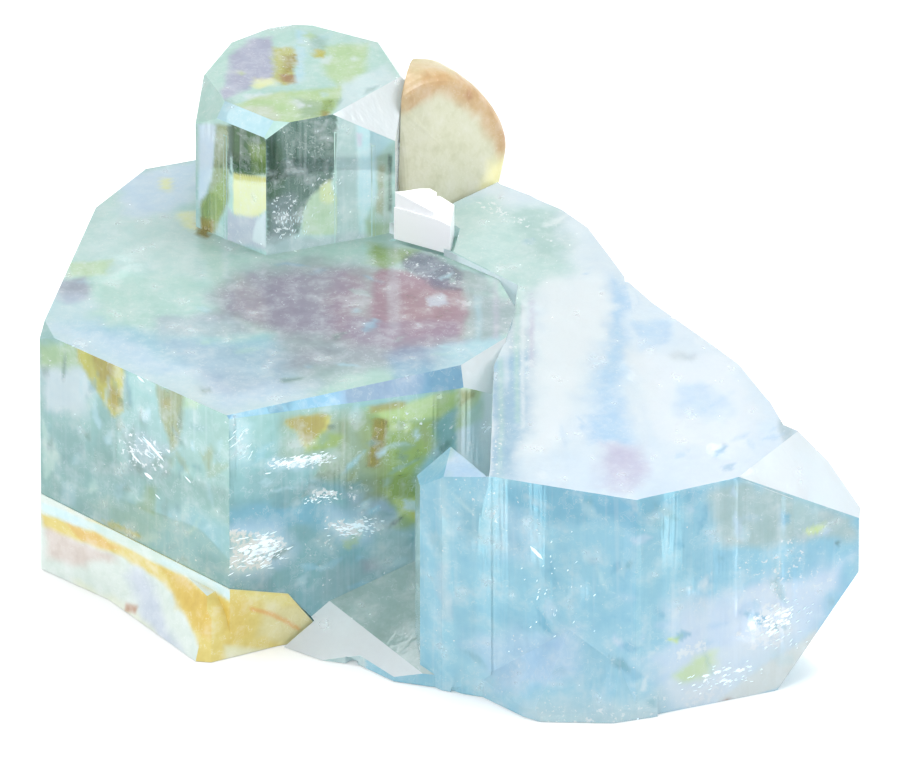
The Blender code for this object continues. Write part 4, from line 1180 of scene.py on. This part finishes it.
def slivers(name, groups, seed):
    """Bright slivers where fractures reach the faces, white as painted glints.

    Each is a six-sided spindle: a radius of nought, one, one, nought along its length. Their places
    spread normally round a group's centre and they lean the same way. A group of one is exact.
    """
    dice = np.random.default_rng(seed)
    sides = 6
    turn = np.arange(sides) / sides * math.tau
    share = np.array([-1.0, -0.45, 0.45, 1.0])
    radius = np.array([0.0, 1.0, 1.0, 0.0])
    ring = np.arange(sides)
    ahead = (ring + 1) % sides
    quad = np.stack([ring, ahead, ahead + sides, ring + sides], axis=-1)
    quads = (quad[None] + np.arange(len(share) - 1)[:, None, None] * sides).reshape(-1, 4)
    each = len(share) * sides
    points, faces, start = [], [], 0
    for face, centre, spread, count, lean, length, width in groups:
        corner, way, up = FACES[face][:3]
        inward = -np.cross(way, up)
        loose = 0.0 if count == 1 else 1.0
        place = loose * dice.normal(0.0, 0.5, (count, 2)).clip(-1.0, 1.0) * spread + centre
        heading = np.radians(lean + loose * dice.normal(0.0, SLIVER_TURN, count))
        long = length * (1.0 - loose * dice.uniform(0.0, SLIVER_SHORTER, count)) / 2.0
        wide = width * (1.0 - loose * dice.uniform(0.0, SLIVER_THINNER, count)) / 2.0
        axis = np.cos(heading)[:, None] * way + np.sin(heading)[:, None] * up
        side = -np.sin(heading)[:, None] * way + np.cos(heading)[:, None] * up
        middle = corner + place[:, :1] * way + place[:, 1:] * up
        body = (
            middle[:, None, None]
            + (share[None, :, None] * long[:, None, None])[..., None] * axis[:, None, None]
            + (radius[None, :, None] * np.cos(turn)[None, None] * wide[:, None, None])[..., None]
            * side[:, None, None]
            + (radius[None, :, None] * np.sin(turn)[None, None] * SLIVER_HALF_DEPTH)[..., None] * inward
        )
        points.append(body.reshape(-1, 3))
        faces += (quads[None] + start + np.arange(count)[:, None, None] * each).reshape(-1, 4).tolist()
        start += count * each
    piece = piece_of(name, np.concatenate(points), faces)
    mesh = bmesh.new()
    mesh.from_mesh(piece.data)
    bmesh.ops.remove_doubles(mesh, verts=mesh.verts, dist=1e-7)
    bmesh.ops.recalc_face_normals(mesh, faces=mesh.faces)
    mesh.to_mesh(piece.data)
    mesh.free()
    return piece


# The slab's outline along and up, its rings as shares of the thickness, and the shares up to which
# the front and from which the rear is rounded
SLAB_OUTLINE = [
    (-3.4, 19.95), (6.3, 19.95), (7.1, 21.3), (7.95, 23.2), (7.8, 24.9), (7.0, 26.7), (5.8, 28.4),
    (4.1, 30.1), (2.3, 30.85), (0.2, 31.2), (-2.6, 30.7),
]
SLAB_RINGS = [0.0, 0.015, 0.05, 0.1, 0.17, 0.26, 0.38, 0.55, 0.72, 0.8, 0.88, 0.94, 0.98, 1.0]
SLAB_FRONT_END = 0.38
SLAB_REAR_START = 0.72


def rounded_slab():
    """Points and triangles of a short slab on its edge, rounded at the top and the right.

    The outline is walked at even steps and smoothed. Each ring of it lies at a share of the slab's
    thickness and is drawn in along a quarter ellipse towards the front and the back. The slab leans
    back, and its left end is pressed flat where it grew against the stub. Both ends are fans.
    """
    way = along(SLAB_HEADING)
    back = np.cross(UP, way)
    loop = np.array(SLAB_OUTLINE + SLAB_OUTLINE[:1])
    walked = np.concatenate([[0.0], np.cumsum(np.linalg.norm(np.diff(loop, axis=0), axis=1))])
    count = SLAB_STEPS
    where = np.linspace(0.0, walked[-1], count, endpoint=False)
    outline = np.stack([np.interp(where, walked, loop[:, i]) for i in (0, 1)], axis=1)
    for _ in range(SLAB_SMOOTHINGS):
        outline = (np.roll(outline, 1, axis=0) + 2.0 * outline + np.roll(outline, -1, axis=0)) / 4.0
    away = outline - outline.mean(axis=0)
    away /= np.linalg.norm(away, axis=1)[:, None]

    share = np.array(SLAB_RINGS)
    front = np.clip((SLAB_FRONT_END - share) / SLAB_FRONT_END, 0.0, 1.0)
    rear = np.clip((share - SLAB_REAR_START) / (1.0 - SLAB_REAR_START), 0.0, 1.0)
    drawn = SLAB_FRONT_ROUNDING * (1.0 - np.sqrt(1.0 - front**2))
    drawn += SLAB_REAR_ROUNDING * (1.0 - np.sqrt(1.0 - rear**2))
    flat = outline[None] - away[None] * drawn[:, None, None]
    ends = [end.mean(axis=1, keepdims=True).repeat(count, axis=1) for end in (flat[:1], flat[-1:])]
    flat = np.concatenate([ends[0], flat, ends[1]])
    share = np.concatenate([[0.0], share, [1.0]])
    height = flat[..., 1]
    lean = math.tan(math.radians(SLAB_LEAN))
    depth = (height - SLAB_FOOT) * lean + share[:, None] * SLAB_THICKNESS
    points = np.array([*SLAB_START, 0.0]) + flat[..., :1] * way + depth[..., None] * back
    points[..., 2] = height
    outward = along(STUB_SIDE_FACING)
    past = np.maximum(0.0, (points - STUB_SIDE) @ outward)
    points = points - past[..., None] * outward

    rings = len(share)
    index = np.arange(rings * count).reshape(rings, count)
    index[0], index[-1] = index[0, 0], index[-1, 0]
    here, ahead = index[:-1], np.roll(index, -1, axis=1)[:-1]
    above, above_ahead = index[1:], np.roll(index, -1, axis=1)[1:]
    triangles = np.concatenate([
        np.stack([ahead, here, above], axis=-1).reshape(-1, 3),
        np.stack([ahead, above, above_ahead], axis=-1).reshape(-1, 3),
    ])
    whole = (triangles != np.roll(triangles, 1, axis=1)).all(axis=1)
    used, triangles = np.unique(triangles[whole], return_inverse=True)
    return points.reshape(-1, 3)[used], triangles.reshape(-1, 3)


def build_crystals():
    """The aquamarine, with faint steps and ribs pressed flat."""
    points, triangles = triangles_of(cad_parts["aquamarine_crystals"].data)
    off_main_top = (abs(points[:, 2] - MAIN_TOP) > SAME_HEIGHT) | (points[:, 0] > MAIN_TOP_END)
    top = (points[:, 0] > TIP_END) & off_main_top
    points, triangles = press_flat(points, triangles, "blue_top", UP, TOP_STEP, top)
    front = points[:, 0] > TIP_END
    points, triangles = press_flat(points, triangles, "blue_left", -BACK, FRONT_RIB, front)
    tip = points[:, 0] < TIP_END
    points, triangles = press_flat(points, triangles, "tip_front", -BACK, FRONT_RIB, tip)
    crystals = piece_of("clear_crystals", *refine(points, triangles, *CRYSTAL_EDGES))
    paint(crystals, AQUA, BODIES, FACETS, PATCHES + CRACKS, SPARKLES)
    settle(crystals, make_aquamarine(), "aquamarine", "aquamarine_crystals")


def build_yellow():
    """The short yellow crystal, with a flat front."""
    yellow = piece_of("cream_crystal", *refine(*rounded_slab(), *SLAB_EDGES))
    paint(yellow, PEACH, YELLOW_BODIES, [], PANEL_PATCHES)
    look = make_mineral(
        "yellow_beryl", grain=0.7, veil=0.2, shade=0.4, crack=0.2,
        roughness=0.32, transmission=0.25, bump_strength=0.15,
    )
    settle(yellow, look, "yellow_beryl", "yellow_crystal")


def build_white():
    """The small white crystal."""
    points, triangles = triangles_of(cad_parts["white_crystal"].data)
    white = piece_of("small_white_crystal", *refine(points, triangles, *WHITE_EDGES))
    paint(white, FROST, WHITE_BODIES, [], [])
    look = make_mineral(
        "white_beryl", grain=0.5, veil=0.8, shade=0.1, crack=0.3,
        roughness=0.35, transmission=0.1, bump_strength=0.1,
    )
    settle(white, look, "white_beryl", "white_crystal")


def build_matrix():
    """The stained matrix, raised to meet the main crystal."""
    points, triangles = triangles_of(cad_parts["stained_matrix"].data)
    points[:, 2] += np.where(points[:, 2] > MATRIX_FOOT, MATRIX_RISE, 0.0)
    matrix = piece_of("matrix_foot", *refine(points, triangles, *MATRIX_EDGES))
    paint(matrix, MILK, MATRIX_BODIES, MATRIX_FACETS, MATRIX_PATCHES)
    look = make_mineral(
        "stained_matrix", grain=0.6, veil=0.3, shade=0.35, crack=0.3,
        roughness=0.42, transmission=0.15, bump_strength=0.3,
    )
    settle(matrix, look, "stained_matrix", "stained_matrix")


# Groups of slivers: (face, centre, spread, count, lean, length, width)
SLIVER_GROUPS = [
    ("right", (1.2, 17.1), (1.0, 1.6), 14, 45.0, 0.8, 0.07),
    ("right", (5.6, 15.2), (2.6, 0.5), 60, 12.0, 0.6, 0.09),
    ("right", (7.1, 11.7), (1.4, 0.5), 30, 5.0, 0.35, 0.09),
    ("right", (9.7, 8.7), (2.2, 0.8), 60, -12.0, 0.45, 0.1),
    ("right", (2.4, 8.0), (2.3, 1.6), 90, 10.0, 0.7, 0.1),
    ("right", (2.1, 8.3), (1.3, 1.0), 26, 15.0, 1.1, 0.28),
    ("right", (9.4, 8.9), (1.3, 0.5), 14, -12.0, 0.9, 0.26),
    ("right", (5.9, 15.3), (1.8, 0.25), 12, 12.0, 1.0, 0.24),
    ("blue_right", (11.0, 5.9), (1.4, 1.0), 16, 25.0, 0.9, 0.28),
    ("blue_right", (6.8, 2.2), (2.2, 0.6), 12, 15.0, 0.8, 0.24),
    ("left", (11.2, 14.5), (0.0, 0.0), 1, -32.0, 2.6, 0.26),
    ("left", (11.0, 14.2), (1.3, 0.8), 8, -32.0, 1.0, 0.08),
    ("left", (9.5, 13.0), (0.0, 0.0), 1, -30.0, 1.1, 0.18),
    ("left", (10.7, 12.0), (0.0, 0.0), 1, -15.0, 0.9, 0.3),
    ("left", (14.6, 13.2), (0.0, 0.0), 1, -30.0, 0.8, 0.14),
    ("left", (10.0, 19.9), (0.0, 0.0), 1, -20.0, 0.8, 0.2),
    ("left", (11.6, 10.6), (0.0, 0.0), 1, -25.0, 0.6, 0.12),
    ("blue_right", (11.5, 5.6), (2.2, 2.0), 60, 25.0, 0.45, 0.09),
    ("blue_right", (6.5, 2.0), (3.2, 1.2), 50, 15.0, 0.4, 0.09),
    ("blue_left", (3.6, 12.8), (0.0, 0.0), 1, -45.0, 1.4, 0.28),
    ("blue_left", (4.5, 8.0), (3.5, 7.0), 40, 60.0, 0.35, 0.08),
    ("stub_right", (2.2, 22.5), (1.4, 1.6), 36, 80.0, 0.4, 0.07),
    ("stub_right", (5.0, 24.5), (0.9, 2.2), 16, 60.0, 0.35, 0.07),
]

make_camera()
make_stage()
bpy.context.scene.view_settings.view_transform = "Standard"
cycles = bpy.context.scene.cycles
cycles.use_denoising = True
cycles.max_bounces = 10
cycles.diffuse_bounces = 4
cycles.transmission_bounces = 9
cycles.adaptive_threshold = 0.03
CLOUDY = cloudy_group()

build_crystals()
build_yellow()
build_white()
build_matrix()
settle(slivers("bright_slivers", SLIVER_GROUPS, SLIVER_SEED), make_sliver(), "aquamarine")
